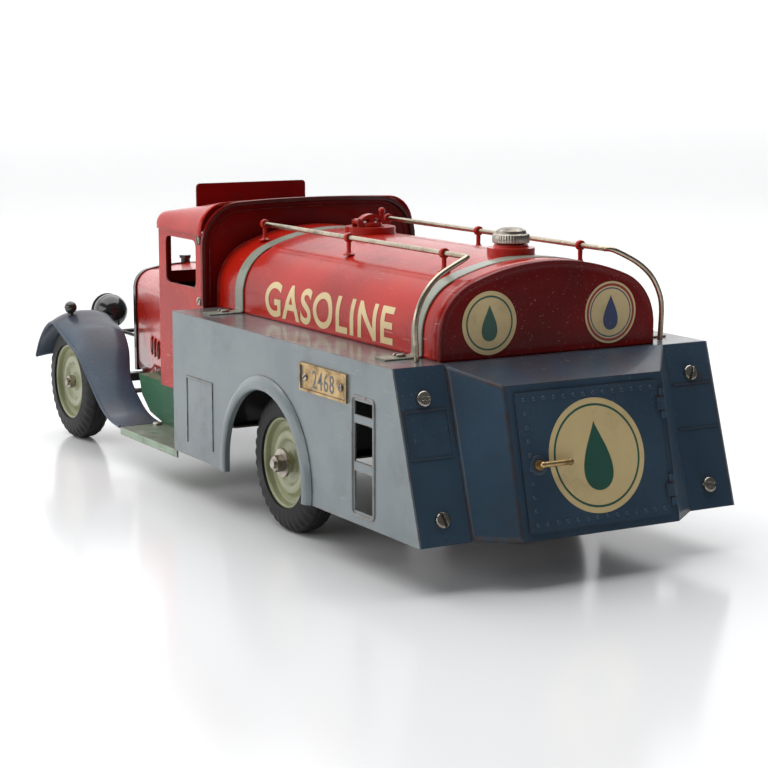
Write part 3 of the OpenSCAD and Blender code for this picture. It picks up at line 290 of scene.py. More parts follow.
def aged_enamel_group(edge_mask):
    """Baked enamel on tinplate: mottled tone, rubbed edges, chips to metal and rust, fine scratches."""
    tree = bpy.data.node_groups.new("aged_enamel", "ShaderNodeTree")
    for name, kind, value in (
            ("Paint", "NodeSocketColor", (0.5, 0, 0, 1)), ("Shade", "NodeSocketColor", (0.3, 0, 0, 1)),
            ("Bare", "NodeSocketColor", (0.2, 0.16, 0.12, 1)), ("Gloss", "NodeSocketFloat", 0.25),
            ("Edge Wear", "NodeSocketFloat", 0.6), ("Chips", "NodeSocketFloat", 0.3),
            ("Scratches", "NodeSocketFloat", 0.3), ("Grime", "NodeSocketFloat", 0.3),
            ("Top Wear And Shade", "NodeSocketFloat", 0.0)):
        socket(tree, name, kind, "INPUT", value)
    for name, kind in (("Color", "NodeSocketColor"), ("Roughness", "NodeSocketFloat"),
                       ("Metallic", "NodeSocketFloat"), ("Height", "NodeSocketFloat")):
        socket(tree, name, kind, "OUTPUT")
    w = Wiring(tree)
    start, end = w.node("NodeGroupInput"), w.node("NodeGroupOutput")
    own = w.node("ShaderNodeTexCoord").outputs["Object"]
    tone = w.noise(own, 26.0, 4.0)
    cloud = w.noise(own, 9.0, 2.0)
    speck = w.noise(own, 650.0, 3.0, 0.7)
    blot = w.noise(own, 120.0, 5.0, 0.65)
    edge = w.node("ShaderNodeGroup", node_tree=edge_mask)
    edge.inputs["Width"].default_value = 0.0010
    rub = w.math("MULTIPLY", edge.outputs["Edge"], w.ramp(blot, 0.36, 0.56))
    rub = w.math("MULTIPLY", rub, start.outputs["Edge Wear"], True)
    rare = w.math("SUBTRACT", 0.80, w.math("MULTIPLY", start.outputs["Chips"], 0.16))
    chip = w.ramp(blot, rare, w.math("ADD", rare, 0.02))
    fleck = w.math("MULTIPLY", w.ramp(speck, 0.74, 0.78), start.outputs["Chips"], True)
    lines = 0.0
    for turn, scale in (((0.5, 0.3, 1.2), (900.0, 45.0, 900.0)), ((1.1, 0.9, 0.2), (1100.0, 60.0, 1100.0)),
                        ((0.2, 1.3, 0.8), (1000.0, 80.0, 1000.0))):
        one = w.noise(w.stretch(own, scale, turn), 1.0, 1.0)
        lines = w.math("MAXIMUM", w.ramp(one, 0.735, 0.75), lines)
    patch = w.math("MULTIPLY", start.outputs["Scratches"], w.ramp(cloud, 0.5, 0.68))
    lines = w.math("MULTIPLY", lines, patch)
    bare = w.math("MAXIMUM", w.math("MAXIMUM", rub, chip), fleck)
    color = w.mix(w.ramp(tone, 0.3, 0.75), start.outputs["Paint"], start.outputs["Shade"])
    dirt = w.math("MULTIPLY", w.ramp(w.noise(own, 60.0, 6.0, 0.7), 0.5, 0.8), start.outputs["Grime"])
    color = w.mix(dirt, color, (0.035, 0.03, 0.028, 1))
    # Upward faces darken towards a red brown: partly worn paint, partly painted shade and a painted reflection
    # of the red tank.
    facing = w.node("ShaderNodeSeparateXYZ")
    w.link(w.node("ShaderNodeNewGeometry").outputs["True Normal"], facing.inputs[0])
    top = w.math("MULTIPLY", w.ramp(facing.outputs["Z"], 0.55, 0.95), w.ramp(tone, 0.30, 0.62))
    color = w.mix(w.math("MULTIPLY", top, start.outputs["Top Wear And Shade"]), color, (0.085, 0.052, 0.05, 1))
    pale = w.mix(0.45, color, (0.75, 0.72, 0.68, 1))
    color = w.mix(lines, color, pale)
    rust = w.mix(w.ramp(w.noise(own, 210.0, 3.0), 0.4, 0.62), start.outputs["Bare"], (0.10, 0.045, 0.02, 1))
    color = w.mix(bare, color, rust)
    w.link(color, end.inputs["Color"])
    rough = w.math("ADD", start.outputs["Gloss"], w.math("MULTIPLY", w.math("SUBTRACT", tone, 0.5), 0.16))
    rough = w.math("ADD", rough, w.math("MULTIPLY", bare, 0.28))
    rough = w.math("ADD", rough, w.math("MULTIPLY", dirt, 0.3), True)
    w.link(rough, end.inputs["Roughness"])
    w.link(w.math("MULTIPLY", bare, 0.55), end.inputs["Metallic"])
    ripple = w.math("MULTIPLY", w.noise(own, 75.0, 2.0), 0.5)
    grain = w.math("MULTIPLY", w.noise(own, 1500.0, 2.0), 0.035)
    height = w.math("SUBTRACT", w.math("ADD", ripple, grain), w.math("MULTIPLY", bare, 0.16))
    w.link(height, end.inputs["Height"])
    return tree


def metal_group():
    """Plated or bare metal: tarnish clouds and pits."""
    tree = bpy.data.node_groups.new("old_metal", "ShaderNodeTree")
    for name, kind, value in (
            ("Metal", "NodeSocketColor", (0.6, 0.55, 0.48, 1)),
            ("Tarnish", "NodeSocketColor", (0.16, 0.12, 0.08, 1)),
            ("Gloss", "NodeSocketFloat", 0.22), ("Age", "NodeSocketFloat", 0.5)):
        socket(tree, name, kind, "INPUT", value)
    for name, kind in (("Color", "NodeSocketColor"), ("Roughness", "NodeSocketFloat"),
                       ("Height", "NodeSocketFloat")):
        socket(tree, name, kind, "OUTPUT")
    w = Wiring(tree)
    start, end = w.node("NodeGroupInput"), w.node("NodeGroupOutput")
    own = w.node("ShaderNodeTexCoord").outputs["Object"]
    cloud = w.noise(own, 90.0, 5.0, 0.65)
    pits = w.ramp(w.noise(own, 900.0, 3.0, 0.7), 0.62, 0.72)
    dull = w.math("MULTIPLY", w.ramp(cloud, 0.38, 0.72), start.outputs["Age"])
    spots = w.math("MAXIMUM", dull, w.math("MULTIPLY", pits, start.outputs["Age"]))
    w.link(w.mix(spots, start.outputs["Metal"], start.outputs["Tarnish"]), end.inputs["Color"])
    rough = w.math("ADD", start.outputs["Gloss"], w.math("MULTIPLY", spots, 0.35), True)
    height = w.math("ADD", w.math("MULTIPLY", pits, -0.3), w.math("MULTIPLY", cloud, 0.25))
    w.link(rough, end.inputs["Roughness"])
    w.link(height, end.inputs["Height"])
    return tree


def finish_material(name, group, values, metallic=None, bump=0.06, coat=0.0, sheen=0.5):
    """A Principled material whose colour, roughness and height come from a group with these values."""
    material = bpy.data.materials.new(name)
    material.use_nodes = True
    w = Wiring(material.node_tree)
    shader = material.node_tree.nodes["Principled BSDF"]
    look = w.node("ShaderNodeGroup", node_tree=group)
    for key, value in values.items():
        look.inputs[key].default_value = value
    w.link(look.outputs["Color"], shader.inputs["Base Color"])
    w.link(look.outputs["Roughness"], shader.inputs["Roughness"])
    if metallic is None:
        w.link(look.outputs["Metallic"], shader.inputs["Metallic"])
    else:
        shader.inputs["Metallic"].default_value = metallic
    relief = w.node("ShaderNodeBump")
    relief.inputs["Strength"].default_value = bump
    relief.inputs["Distance"].default_value = 0.002
    w.link(look.outputs["Height"], relief.inputs["Height"])
    w.link(relief.outputs["Normal"], shader.inputs["Normal"])
    shader.inputs["Specular IOR Level"].default_value = sheen
    shader.inputs["Coat Weight"].default_value = coat
    shader.inputs["Coat Roughness"].default_value = 0.08
    return material


edge_mask = edge_mask_group()
ENAMEL = aged_enamel_group(edge_mask)
METAL = metal_group()


def enamel(name, paint, shade, gloss=0.22, edge=0.8, chips=0.3, scratches=0.4, grime=0.25,
           bare=(0.17, 0.13, 0.10), coat=0.35, bump=0.07, top=0.0, sheen=0.5):
    # top sets how far upward faces darken towards red brown: worn paint, with painted shade and a painted
    # reflection of the red tank.
    return finish_material(name, ENAMEL, {
        "Paint": (*paint, 1), "Shade": (*shade, 1), "Bare": (*bare, 1), "Gloss": gloss, "Edge Wear": edge,
        "Chips": chips, "Scratches": scratches, "Grime": grime, "Top Wear And Shade": top},
        bump=bump, coat=coat, sheen=sheen)


def metal(name, color, tarnish, gloss=0.22, age=0.5, bump=0.05):
    return finish_material(name, METAL, {"Metal": (*color, 1), "Tarnish": (*tarnish, 1), "Gloss": gloss,
                                         "Age": age}, metallic=1.0, bump=bump)


def rubber():
    """Old tyre rubber: near black, dusty in places, with a fine grain."""
    material = bpy.data.materials.new("tyre_rubber")
    material.use_nodes = True
    w = Wiring(material.node_tree)
    shader = material.node_tree.nodes["Principled BSDF"]
    own = w.node("ShaderNodeTexCoord").outputs["Object"]
    dust = w.ramp(w.noise(own, 55.0, 5.0, 0.7), 0.42, 0.8)
    w.link(w.mix(dust, (0.008, 0.008, 0.009, 1), (0.028, 0.027, 0.027, 1)), shader.inputs["Base Color"])
    w.link(w.math("ADD", 0.5, w.math("MULTIPLY", dust, 0.25)), shader.inputs["Roughness"])
    shader.inputs["Specular IOR Level"].default_value = 0.25
    relief = w.node("ShaderNodeBump")
    relief.inputs["Strength"].default_value = 0.25
    relief.inputs["Distance"].default_value = 0.0004
    w.link(w.noise(own, 900.0, 4.0, 0.7), relief.inputs["Height"])
    w.link(relief.outputs["Normal"], shader.inputs["Normal"])
    return material


MATERIALS = {
    "red_paint": enamel("red_paint", (0.48, 0.014, 0.005), (0.33, 0.008, 0.004), gloss=0.26, chips=0.35,
                        scratches=0.7, grime=0.25, coat=0.3, sheen=0.15),
    "dark_red_paint": enamel("dark_red_paint", (0.20, 0.004, 0.004), (0.12, 0.003, 0.003), gloss=0.3,
                             chips=0.2, grime=0.3, coat=0.12, sheen=0.12),
    "slate_paint": enamel("slate_paint", (0.042, 0.078, 0.118), (0.028, 0.054, 0.086), gloss=0.3, chips=0.6,
                          grime=0.45, edge=0.7, bare=(0.085, 0.06, 0.05), coat=0.1, top=0.45, sheen=0.25),
    # The skirts' blue grey is the slate paint made lighter: painted light standing for the soft box's sheen on
    # the skirts.
    "blue_grey_paint": enamel("blue_grey_paint", (0.165, 0.198, 0.208), (0.125, 0.155, 0.17), gloss=0.32,
                              chips=0.4, grime=0.3, top=0.8),
    "green_paint": enamel("green_paint", (0.045, 0.16, 0.075), (0.035, 0.12, 0.06), gloss=0.35, chips=0.5,
                          grime=0.45),
    "pale_green_paint": enamel("pale_green_paint", (0.30, 0.42, 0.30), (0.19, 0.25, 0.17), gloss=0.45,
                               chips=0.75, grime=0.6, edge=0.5, top=0.7),
    "wheel_paint": enamel("wheel_paint", (0.30, 0.31, 0.17), (0.23, 0.24, 0.13), gloss=0.4, chips=0.3,
                          grime=0.45),
    "strap_paint": enamel("strap_paint", (0.25, 0.28, 0.22), (0.20, 0.22, 0.17), gloss=0.38, chips=0.3,
                          grime=0.3),
    "chassis_paint": enamel("chassis_paint", (0.022, 0.022, 0.022), (0.04, 0.032, 0.026), gloss=0.45,
                            chips=0.5, grime=0.4),
    "black_paint": enamel("black_paint", (0.012, 0.012, 0.012), (0.02, 0.018, 0.016), gloss=0.15, chips=0.3,
                          grime=0.2, coat=0.6),
    "bench_paint": enamel("bench_paint", (0.05, 0.022, 0.012), (0.03, 0.014, 0.008), gloss=0.5),
    "nickel": metal("nickel", (0.50, 0.46, 0.40), (0.07, 0.05, 0.035), gloss=0.2, age=0.8),
    "brass": metal("brass", (0.52, 0.36, 0.17), (0.13, 0.08, 0.04), gloss=0.32, age=0.8),
    "tyre_rubber": rubber(),
}


def lamp_glass():
    """Milky glass over a bright reflector."""
    material = bpy.data.materials.new("lamp_glass")
    material.use_nodes = True
    shader = material.node_tree.nodes["Principled BSDF"]
    shader.inputs["Base Color"].default_value = (0.75, 0.75, 0.7, 1)
    shader.inputs["Roughness"].default_value = 0.06
    shader.inputs["Metallic"].default_value = 0.35
    shader.inputs["Coat Weight"].default_value = 1.0
    return material


def dress_cad_nodes():
    """Every CAD node takes the finish of its material slot."""
    for row in frame["record"]["subparts"]:
        mesh = NODES[row["node"]].data
        mesh.materials.clear()
        mesh.materials.append(MATERIALS[row["material_slot"]])


def sign_paint(name, paint, shade):
    """Printed colour of a sign, which shows cream where it is chipped."""
    return enamel(name, paint, shade, gloss=0.35, edge=0, chips=0.2, bare=(0.4, 0.3, 0.16), coat=0.2)


MATERIALS["rail_nickel"] = metal("rail_nickel", (0.50, 0.43, 0.33), (0.12, 0.085, 0.05), gloss=0.2, age=0.6)
MATERIALS["bare_grey"] = enamel("bare_grey", (0.23, 0.24, 0.24), (0.15, 0.13, 0.12), gloss=0.4, chips=1.0,
                                edge=1.0, grime=0.5)
# A near black red brown: painted shade of the channel between the cab's roof and back panel.
MATERIALS["channel_shade_paint"] = enamel("channel_shade_paint", (0.05, 0.012, 0.010), (0.028, 0.012, 0.010), gloss=0.3,
                                chips=0.4)
MATERIALS["cream_paint"] = enamel("cream_paint", (0.72, 0.56, 0.28), (0.62, 0.46, 0.22), gloss=0.35, edge=0,
                                  chips=0.25, scratches=0.3, grime=0.25, bare=(0.22, 0.05, 0.03), coat=0.2)
MATERIALS["sign_green"] = sign_paint("sign_green", (0.02, 0.10, 0.07), (0.02, 0.08, 0.055))
MATERIALS["sign_blue"] = sign_paint("sign_blue", (0.02, 0.04, 0.14), (0.02, 0.035, 0.11))
MATERIALS["sign_red"] = sign_paint("sign_red", (0.33, 0.02, 0.012), (0.25, 0.015, 0.01))
MATERIALS["lamp_glass"] = lamp_glass()

# ---------------------------------------------------------------- sizes, in millimetres

HALF = 77.8
AXLE_F, AXLE_R, AXLE_Z = -178.2, 77.4, 31.0
FRONT_WHEEL_X, REAR_WHEEL_X = 65.55, 65.55
TYRE_R, TYRE_W, RIM_R = 31.0, 14.5, 20.4
SKIRT_TOP, SKIRT_Z = 87.3, 19.7
TANK_Y0, TANK_Y1, TANK_W, TANK_TOP, TANK_R, TANK_CROWN = -28.9, 177.1, 105.2, 120.5, 23.0, 4.4
CROWN_Z = TANK_TOP + TANK_CROWN
STRAP_Y, STRAP_W, STRAP_T = (-3.9, 159.2), 8.4, 0.8
FILLER_Y, FILLER_H = (28.1, 147.3), 3.4
SIDE_WORD, PLATE_TEXT = "GASOLINE", "2468"
RAIL_X, RAIL_Z, RAIL_BEND_Y = 34.2, 127.7, 169.1
POST_Y = (-14.2, 68.8, 149.3)
CAB_BACK_Y, CAB_FRONT_Y, COWL_Y, CAB_TOP, CAB_X = -32.2, -86.0, -106.0, 137.4, 58.0
RADIATOR_Y, PAN_Z, ROOF_EDGE_Z = -179.9, 41.5, 121.5
DOOR_TILT = math.atan(14.3 / 60.2)
DOOR_FOOT = (215.7, 19.9)
DOOR_X, DOOR_MARGIN, DOOR_L = 34.7, 3.2, 55.475


# ---------------------------------------------------------------- sections and sweeps

def arch_line(w, z0, z1, r, crown, side=6, corner=16, top=24):
    """Half-round-cornered arch in X and Z, from its right foot over the top to its left foot.

    Feet at z0; corner points (c + r cos a, z1 - r + r sin a); top z1 + crown (1 - (x / c)^2)."""
    c = w / 2 - r
    upright = [(w / 2, z) for z in np.linspace(z0, z1 - r, side, endpoint=False)]
    bend = [(c + r * math.cos(a), z1 - r + r * math.sin(a))
            for a in np.linspace(0, math.pi / 2, corner, endpoint=False)]
    over = [(x, z1 + crown * (1 - (x / c) ** 2)) for x in np.linspace(c, 0, top // 2 + 1)]
    half_line = np.array(upright + bend + over)
    other = half_line[-2::-1] * (-1, 1)
    return np.vstack([half_line, other])


def sweep(name, rings, body, finish, closed_ring=True, capped=True, smooth=50):
    """A skin through equal rings of points; ring i runs across column i of the grid."""
    rings = np.asarray(rings, float)
    rows, columns = rings.shape[:2]
    faces = grid_faces(rows, columns, wrap_columns=closed_ring).tolist()
    if capped:
        faces += [list(range(columns))[::-1], [(rows - 1) * columns + k for k in range(columns)]]
    return piece(name, rings.reshape(-1, 3), faces, body, finish, smooth)


def lathe(profile, centre, axis, around=64, ripple=None):
    """Rings of a turned shape: (r cos a, r sin a, h) about an axis through a centre.

    ripple(a, r, h) adds to the radius."""
    profile = np.asarray(profile, float)
    axis = np.asarray(axis, float) / np.linalg.norm(axis)
    u = np.cross(axis, (0.0, 0.0, 1.0) if abs(axis[2]) < 0.9 else (0.0, 1.0, 0.0))
    u /= np.linalg.norm(u)
    v = np.cross(axis, u)
    a = np.linspace(0, 2 * math.pi, around, endpoint=False)[None, :, None]
    r, h = profile[:, 0][:, None, None], profile[:, 1][:, None, None]
    if ripple is not None:
        r = r + ripple(a, r, h)
    return np.asarray(centre, float) + r * (np.cos(a) * u + np.sin(a) * v) + h * axis


def turned(name, profile, centre, axis, body, finish, around=64, ripple=None, smooth=40):
    """A closed turned piece whose profile runs from the axis' far end to its near end."""
    rings = lathe(profile, centre, axis, around, ripple)
    return sweep(name, rings[:, ::-1], body, finish, True, True, smooth)


def rounded(corners, radius, steps=4):
    """A profile with each inner corner rounded: a quadratic curve from side to side of it."""
    corners = np.asarray(corners, float)
    line = [corners[0]]
    for before, here, after in zip(corners, corners[1:], corners[2:]):
        a, b = before - here, after - here
        reach = min(radius, np.linalg.norm(a) / 2.01, np.linalg.norm(b) / 2.01)
        start = here + a / max(np.linalg.norm(a), 1e-9) * reach
        end = here + b / max(np.linalg.norm(b), 1e-9) * reach
        for t in np.linspace(0, 1, steps):
            line.append((1 - t) ** 2 * start + 2 * t * (1 - t) * here + t * t * end)
    line.append(corners[-1])
    return np.array(line)


def band(name, line, y, width, thickness, body, finish):
    """A flat strip bent along a line in X and Z: offsets of the line by its unit normal."""
    line = np.asarray(line, float)
    way = np.gradient(line, axis=0)
    way /= np.linalg.norm(way, axis=1)[:, None]
    normal = np.stack([way[:, 1], -way[:, 0]], 1)
    edge = min(0.3, thickness * 0.4)
    section = [(-width / 2 + edge, 0), (width / 2 - edge, 0), (width / 2, edge),
               (width / 2, thickness - edge),
               (width / 2 - edge, thickness), (-width / 2 + edge, thickness), (-width / 2, thickness - edge),
               (-width / 2, edge)]
    rings = [[(p[0] + n[0] * lift, y + across, p[1] + n[1] * lift) for across, lift in section]
             for p, n in zip(line, normal)]
    return sweep(name, np.array(rings)[:, ::-1], body, finish, smooth=35)


def on_door(x, out, up):
    """A point on the tail door's leaning plane: x across, out from it, up its slope."""
    c, s = math.cos(DOOR_TILT), math.sin(DOOR_TILT)
    y, z = DOOR_FOOT[0] + out * c - up * s, DOOR_FOOT[1] + out * s + up * c
    return np.stack(np.broadcast_arrays(x, y, z), -1)


# ---------------------------------------------------------------- tank

def tank_line(d=0.0, side=8, corner=28, top=60):
    """The tank's outline in X and Z, d inside its sheet, from right foot to left foot.

    The top is one arc of radius (c^2 + h^2) / 2h that meets each round corner smoothly."""
    c, crown_r = TANK_W / 2 - TANK_R, ((TANK_W / 2 - TANK_R) ** 2 + TANK_CROWN ** 2) / (2 * TANK_CROWN)
    crown_c = CROWN_Z - crown_r
    corner_z = crown_c + math.sqrt((crown_r - TANK_R) ** 2 - c ** 2)
    lean = math.atan2(corner_z - crown_c, c)
    upright = [(TANK_W / 2 - d, z) for z in np.linspace(SKIRT_TOP + 0.2 + d, corner_z, side, endpoint=False)]
    bend = [(c + (TANK_R - d) * math.cos(a), corner_z + (TANK_R - d) * math.sin(a))
            for a in np.linspace(0, lean, corner, endpoint=False)]
    over = [((crown_r - d) * math.cos(a), crown_c + (crown_r - d) * math.sin(a))
            for a in np.linspace(lean, math.pi / 2, top // 2 + 1)]
    half_line = np.array(upright + bend + over)
    return np.vstack([half_line, half_line[-2::-1] * (-1, 1)])


def tank_height(x):
    """Height of the tank's top at a distance from its middle, read from its outline."""
    line = tank_line()
    line = line[line[:, 0] >= 0]
    line = line[line[:, 1] > SKIRT_TOP + 12]
    return float(np.interp(x, line[::-1, 0], line[::-1, 1]))


def tank_sheet():
    """The tank's rolled sheet with a lap seam along each side of its crown."""
    line = tank_line()
    rise = 0.45 / (1 + np.exp((np.abs(line[:, 0]) - 38.3) / 0.18))
    rise -= 0.2 * np.exp(-((np.abs(line[:, 0]) - 38.6) / 0.35) ** 2)
    foot = 0.5 * np.exp(-((line[:, 1] - SKIRT_TOP - 0.6) / 0.5) ** 2)
    x = line[:, 0] + np.sign(line[:, 0]) * foot
    z = line[:, 1] + rise
    stations = np.linspace(TANK_Y0 + 0.9, TANK_Y1 - 0.9, 30)
    rings = [np.stack([x, np.full_like(x, y), z], 1) for y in stations]
    sheet = sweep("tank_sheet", rings, "chassis", "red_paint", False, False, 30)
    thicken(sheet, SHEET)
    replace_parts(sheet, "tank_shell")


def tank_end(name, y, way, node):
    """An end plate: inset outlines of the tank that run over a rolled lip on to a shallow dome."""
    steps = [(-1.9, -0.3), (-1.9, -0.5), (-0.6, -0.52), (-0.2, -0.4), (-0.02, -0.1), (0, 0.35), (-0.12, 0.7),
             (-0.4, 1.0), (-0.62, 1.5), (-0.6, 3), (-0.5, 5), (-0.42, 7)]
    rings = []
    for out, d in steps:
        line = tank_line(d)
        rings.append(np.stack([line[:, 0], np.full(len(line), y + way * out), line[:, 1]], 1))
    middle = np.array([0, y - way * 0.3, 103])
    rings += [middle + (rings[-1] - middle) * part for part in (0.96, 0.9, 0.8, 0.6, 0.4, 0.2, 0.02)]
    rings = np.array(rings)
    if way < 0:
        rings = rings[:, ::-1]
    end = sweep(name, rings[:, ::-1], "chassis", "dark_red_paint", smooth=45)
    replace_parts(end, node)


def strap(name, y, node):
    """A steel band over the tank whose ends turn out into feet on the skirts' tops."""
    over = tank_line(-0.05, 6, 20, 30)
    over = over[over[:, 1] > SKIRT_TOP + 1.3]
    edge, z = TANK_W / 2, SKIRT_TOP + 0.05
    foot = [(edge + 17.8, z), (edge + 10, z), (edge + 2.2, z), (edge + 0.9, z + 0.25), (edge + 0.25, z + 0.8)]
    line = np.vstack([foot, over, np.array(foot)[::-1] * (-1, 1)])
    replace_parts(band(name, line, y, STRAP_W, STRAP_T, "chassis", "strap_paint"), node)


def handrail(name, side, node):
    """A bent rod over the tank that turns out and down round its rear corner."""
    edge = TANK_W / 2
    bend = [(RAIL_X, RAIL_BEND_Y - 2, RAIL_Z), (RAIL_X + 3.5, RAIL_BEND_Y + 0.4, RAIL_Z - 0.8),
            (edge - 3.6, RAIL_BEND_Y + 1, RAIL_Z - 6.4), (edge + 3.4, RAIL_BEND_Y + 1.8, RAIL_Z - 12.6),
            (edge + 7.4, RAIL_BEND_Y + 2.2, RAIL_Z - 20), (edge + 8.6, RAIL_BEND_Y + 2.4, RAIL_Z - 27),
            (edge + 8, RAIL_BEND_Y + 2.5, SKIRT_TOP + 0.2)]
    straight = [(RAIL_X, y, RAIL_Z) for y in np.linspace(POST_Y[0] - 1.5, RAIL_BEND_Y - 6, 12)]
    path = np.vstack([straight, spline(bend, 10)]) * (side, 1, 1)
    made = rod(name, path, 1.15, "chassis", "rail_nickel", 20, (0.3 * side, 1, 0.55))
    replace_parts(made, node)


def rail_posts():
    """Stands of the handrails: a flared foot, a waisted stem and an eye round the rail."""
    foot_z = tank_height(RAIL_X - 2.6) + 0.05
    stem = rounded([(0.01, 0), (2.7, 0), (2.7, 0.5), (1.25, 1.1), (0.95, 2.2),
                    (1.05, RAIL_Z - 1.9 - foot_z), (0.01, RAIL_Z - 1.6 - foot_z)], 0.5)
    for side in (-1, 1):
        for i, y in enumerate(POST_Y):
            z = foot_z
            made = turned(f"post_{hand(side)}_{i}", stem[::-1], (side * RAIL_X, y, z), (0, 0, 1),
                          "chassis", "red_paint", 32)
            ring = [(1.2, -1.15), (1.75, -1.2), (2.15, -0.9), (2.25, 0), (2.15, 0.9), (1.75, 1.2), (1.2, 1.15)]
            eye = lathe(ring, (side * RAIL_X, y, RAIL_Z), (0, 1, 0), 32)
            faces = grid_faces(len(ring), 32, True, True)[:, ::-1]
            eye = piece(f"eye_{hand(side)}_{i}", eye.reshape(-1, 3), faces, "chassis",
                        "red_paint", 50)
            if side < 0 and i == 0:
                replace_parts(made, "rail_posts")


def fillers():
    """Round bases of both fillers and the knurled screw cap of the rear one."""
    for name, y, r, throat, node in (("front_filler_base", FILLER_Y[0], 11.8, 4.5, "filler_neck_front"),
                                     ("rear_filler_base", FILLER_Y[1], 10.15, 6.0, "filler_neck_rear")):
        line = [(0.01, -1.2), (r, -1.2), (r, FILLER_H), (throat + 1.6, FILLER_H),
                (throat + 1.4, FILLER_H + 1.2),
                (throat, FILLER_H + 1.2), (throat, 0.8), (0.01, 0.8)]
        if throat < 6:
            line = [(0.01, -1.2), (r, -1.2), (r, FILLER_H), (throat, FILLER_H), (throat, 0.8), (0.01, 0.8)]
        turned(name, rounded(line, 0.7)[::-1], (0, y, CROWN_Z), (0, 0, 1), "chassis", "red_paint", 72)
    z = CROWN_Z + FILLER_H + 1.5 + 0.3
    line = rounded([(0.01, -3.4), (5.6, -3.4), (5.6, 0), (7.2, 0), (7.6, 0.3), (7.7, 1.8), (7.6, 3.5),
                    (7.2, 3.9), (6.5, 4.1), (6.3, 5.3), (4.0, 6.4), (0.01, 6.6)], 0.35)

    def knurl(a, r, h):
        """Beads round the cap's edge: half a wave 40 times round where the radius is largest."""
        return 0.22 * np.abs(np.sin(20 * a)) * ((r > 7.1) & (h > 0.2) & (h < 3.9))

    cap = turned("screw_cap", line[::-1], (0, FILLER_Y[1], z), (0, 0, 1), "filler_cap", "nickel",
                 240, knurl)
    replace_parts(cap, "filler_cap")


# ---------------------------------------------------------------- wheels

def tyre(name, x, y, side, body, node):
    """A tyre of round section with blocks along both shoulders.

    Section: |z|^2.6 rounding; blocks lower the shoulder by 0.9 mm between 36 teeth."""
    h = np.linspace(-1, 1, 41)
    r = RIM_R + (TYRE_R - RIM_R) * (1 - np.abs(h) ** 4) ** (1 / 2.8)
    z = h * TYRE_W / 2
    around = 288
    a = np.linspace(0, 2 * math.pi, around, endpoint=False)
    shoulder = np.exp(-((np.abs(h) - 0.80) / 0.17) ** 4)
    tooth = 0.5 - 0.5 * np.tanh(6 * np.cos(36 * a))
    crown = np.exp(-((np.abs(h) - 0.28) / 0.05) ** 2) * 0.55
    drop = 0.9 * shoulder[:, None] * tooth[None, :] * (r > 23)[:, None] + crown[:, None]
    r = r[:, None] - drop
    points = np.stack([side * (x + z[:, None]) + 0 * r, y + r * np.cos(a), AXLE_Z + r * np.sin(a)], -1)
    inner = np.stack([side * (x + np.array([1, -1])[:, None] * (TYRE_W / 2 - 2.5)) + 0 * a[None, :],
                      y + (RIM_R - 0.6) * np.cos(a)[None, :] + 0 * np.zeros((2, 1)),
                      AXLE_Z + (RIM_R - 0.6) * np.sin(a)[None, :] + 0 * np.zeros((2, 1))], -1)
    rings = np.concatenate([points, inner])
    faces = grid_faces(len(rings), around, True, True)
    if side > 0:
        faces = faces[:, ::-1]
    made = piece(name, rings.reshape(-1, 3), faces, body, "tyre_rubber", 40)
    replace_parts(made, node)


def wheel(name, x, y, side, body, node, hub_out):
    """A pressed disc: rim lip, a raised ring, a shallow dish and a hub tube."""
    line = [(2.05, -6), (4.2, -6), (4.2, 0.8), (8.8, 1.5), (11, 3.2), (13.4, 3.2), (15.2, 1.4), (18.8, 1.2),
            (19.3, -6.05), (20.3, -6.05), (20.35, 6.0), (19.6, 6.3), (18.9, 5.6), (18.6, 2.7),
            (15.4, 2.4), (13.8, 4.3),
            (10.8, 4.3), (9.0, 2.5), (5.2, 2.4), (4.4, 3.2), (4.0, hub_out), (2.05, hub_out)]
    rings = lathe(rounded(line, 0.9, 5), (side * x, y, AXLE_Z), (side, 0, 0), 96)
    faces = grid_faces(len(rings), 96, True, True)
    made = piece(name, rings.reshape(-1, 3), faces[:, ::-1], body, "wheel_paint", 40)
    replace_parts(made, node)


def wheels():
    tyre("front_tyre_left", FRONT_WHEEL_X, AXLE_F, 1, "front_wheel_left", "tyre_front_left")
    tyre("front_tyre_right", FRONT_WHEEL_X, AXLE_F, -1, "front_wheel_right", "tyre_front_right")
    tyre("rear_tyre_left", REAR_WHEEL_X, AXLE_R, 1, "rear_wheels", "tyre_rear_left")
    tyre("rear_tyre_right", REAR_WHEEL_X, AXLE_R, -1, "rear_wheels", "tyre_rear_right")
    wheel("front_disc_left", FRONT_WHEEL_X, AXLE_F, 1, "front_wheel_left", "wheel_front_left", 3.9)
    wheel("front_disc_right", FRONT_WHEEL_X, AXLE_F, -1, "front_wheel_right", "wheel_front_right", 3.9)
    wheel("rear_disc_left", REAR_WHEEL_X, AXLE_R, 1, "rear_wheels", "wheel_rear_left", 6.2)
    wheel("rear_disc_right", REAR_WHEEL_X, AXLE_R, -1, "rear_wheels", "wheel_rear_right", 6.2)


# ---------------------------------------------------------------- wings, hood and cab

# Along a wing: distance from the axle, height of the outer edge, crown over it and inner edge's X
WING_EDGE = [(-37.5, 40.5, 2, 46), (-31, 50.3, 4.4, 46), (-21, 59.2, 5.4, 46), (-10.5, 62.8, 5.6, 46),
             (1, 58.8, 7.2, 46), (14, 53.6, 8.3, 46), (28, 48, 5.6, 49), (43, 36.8, 3, 54.2), (56, 27, 1, 54.2),
             (68, 21.6, 0.4, 54.2), (82.5, 19.6, 0, 54.2)]


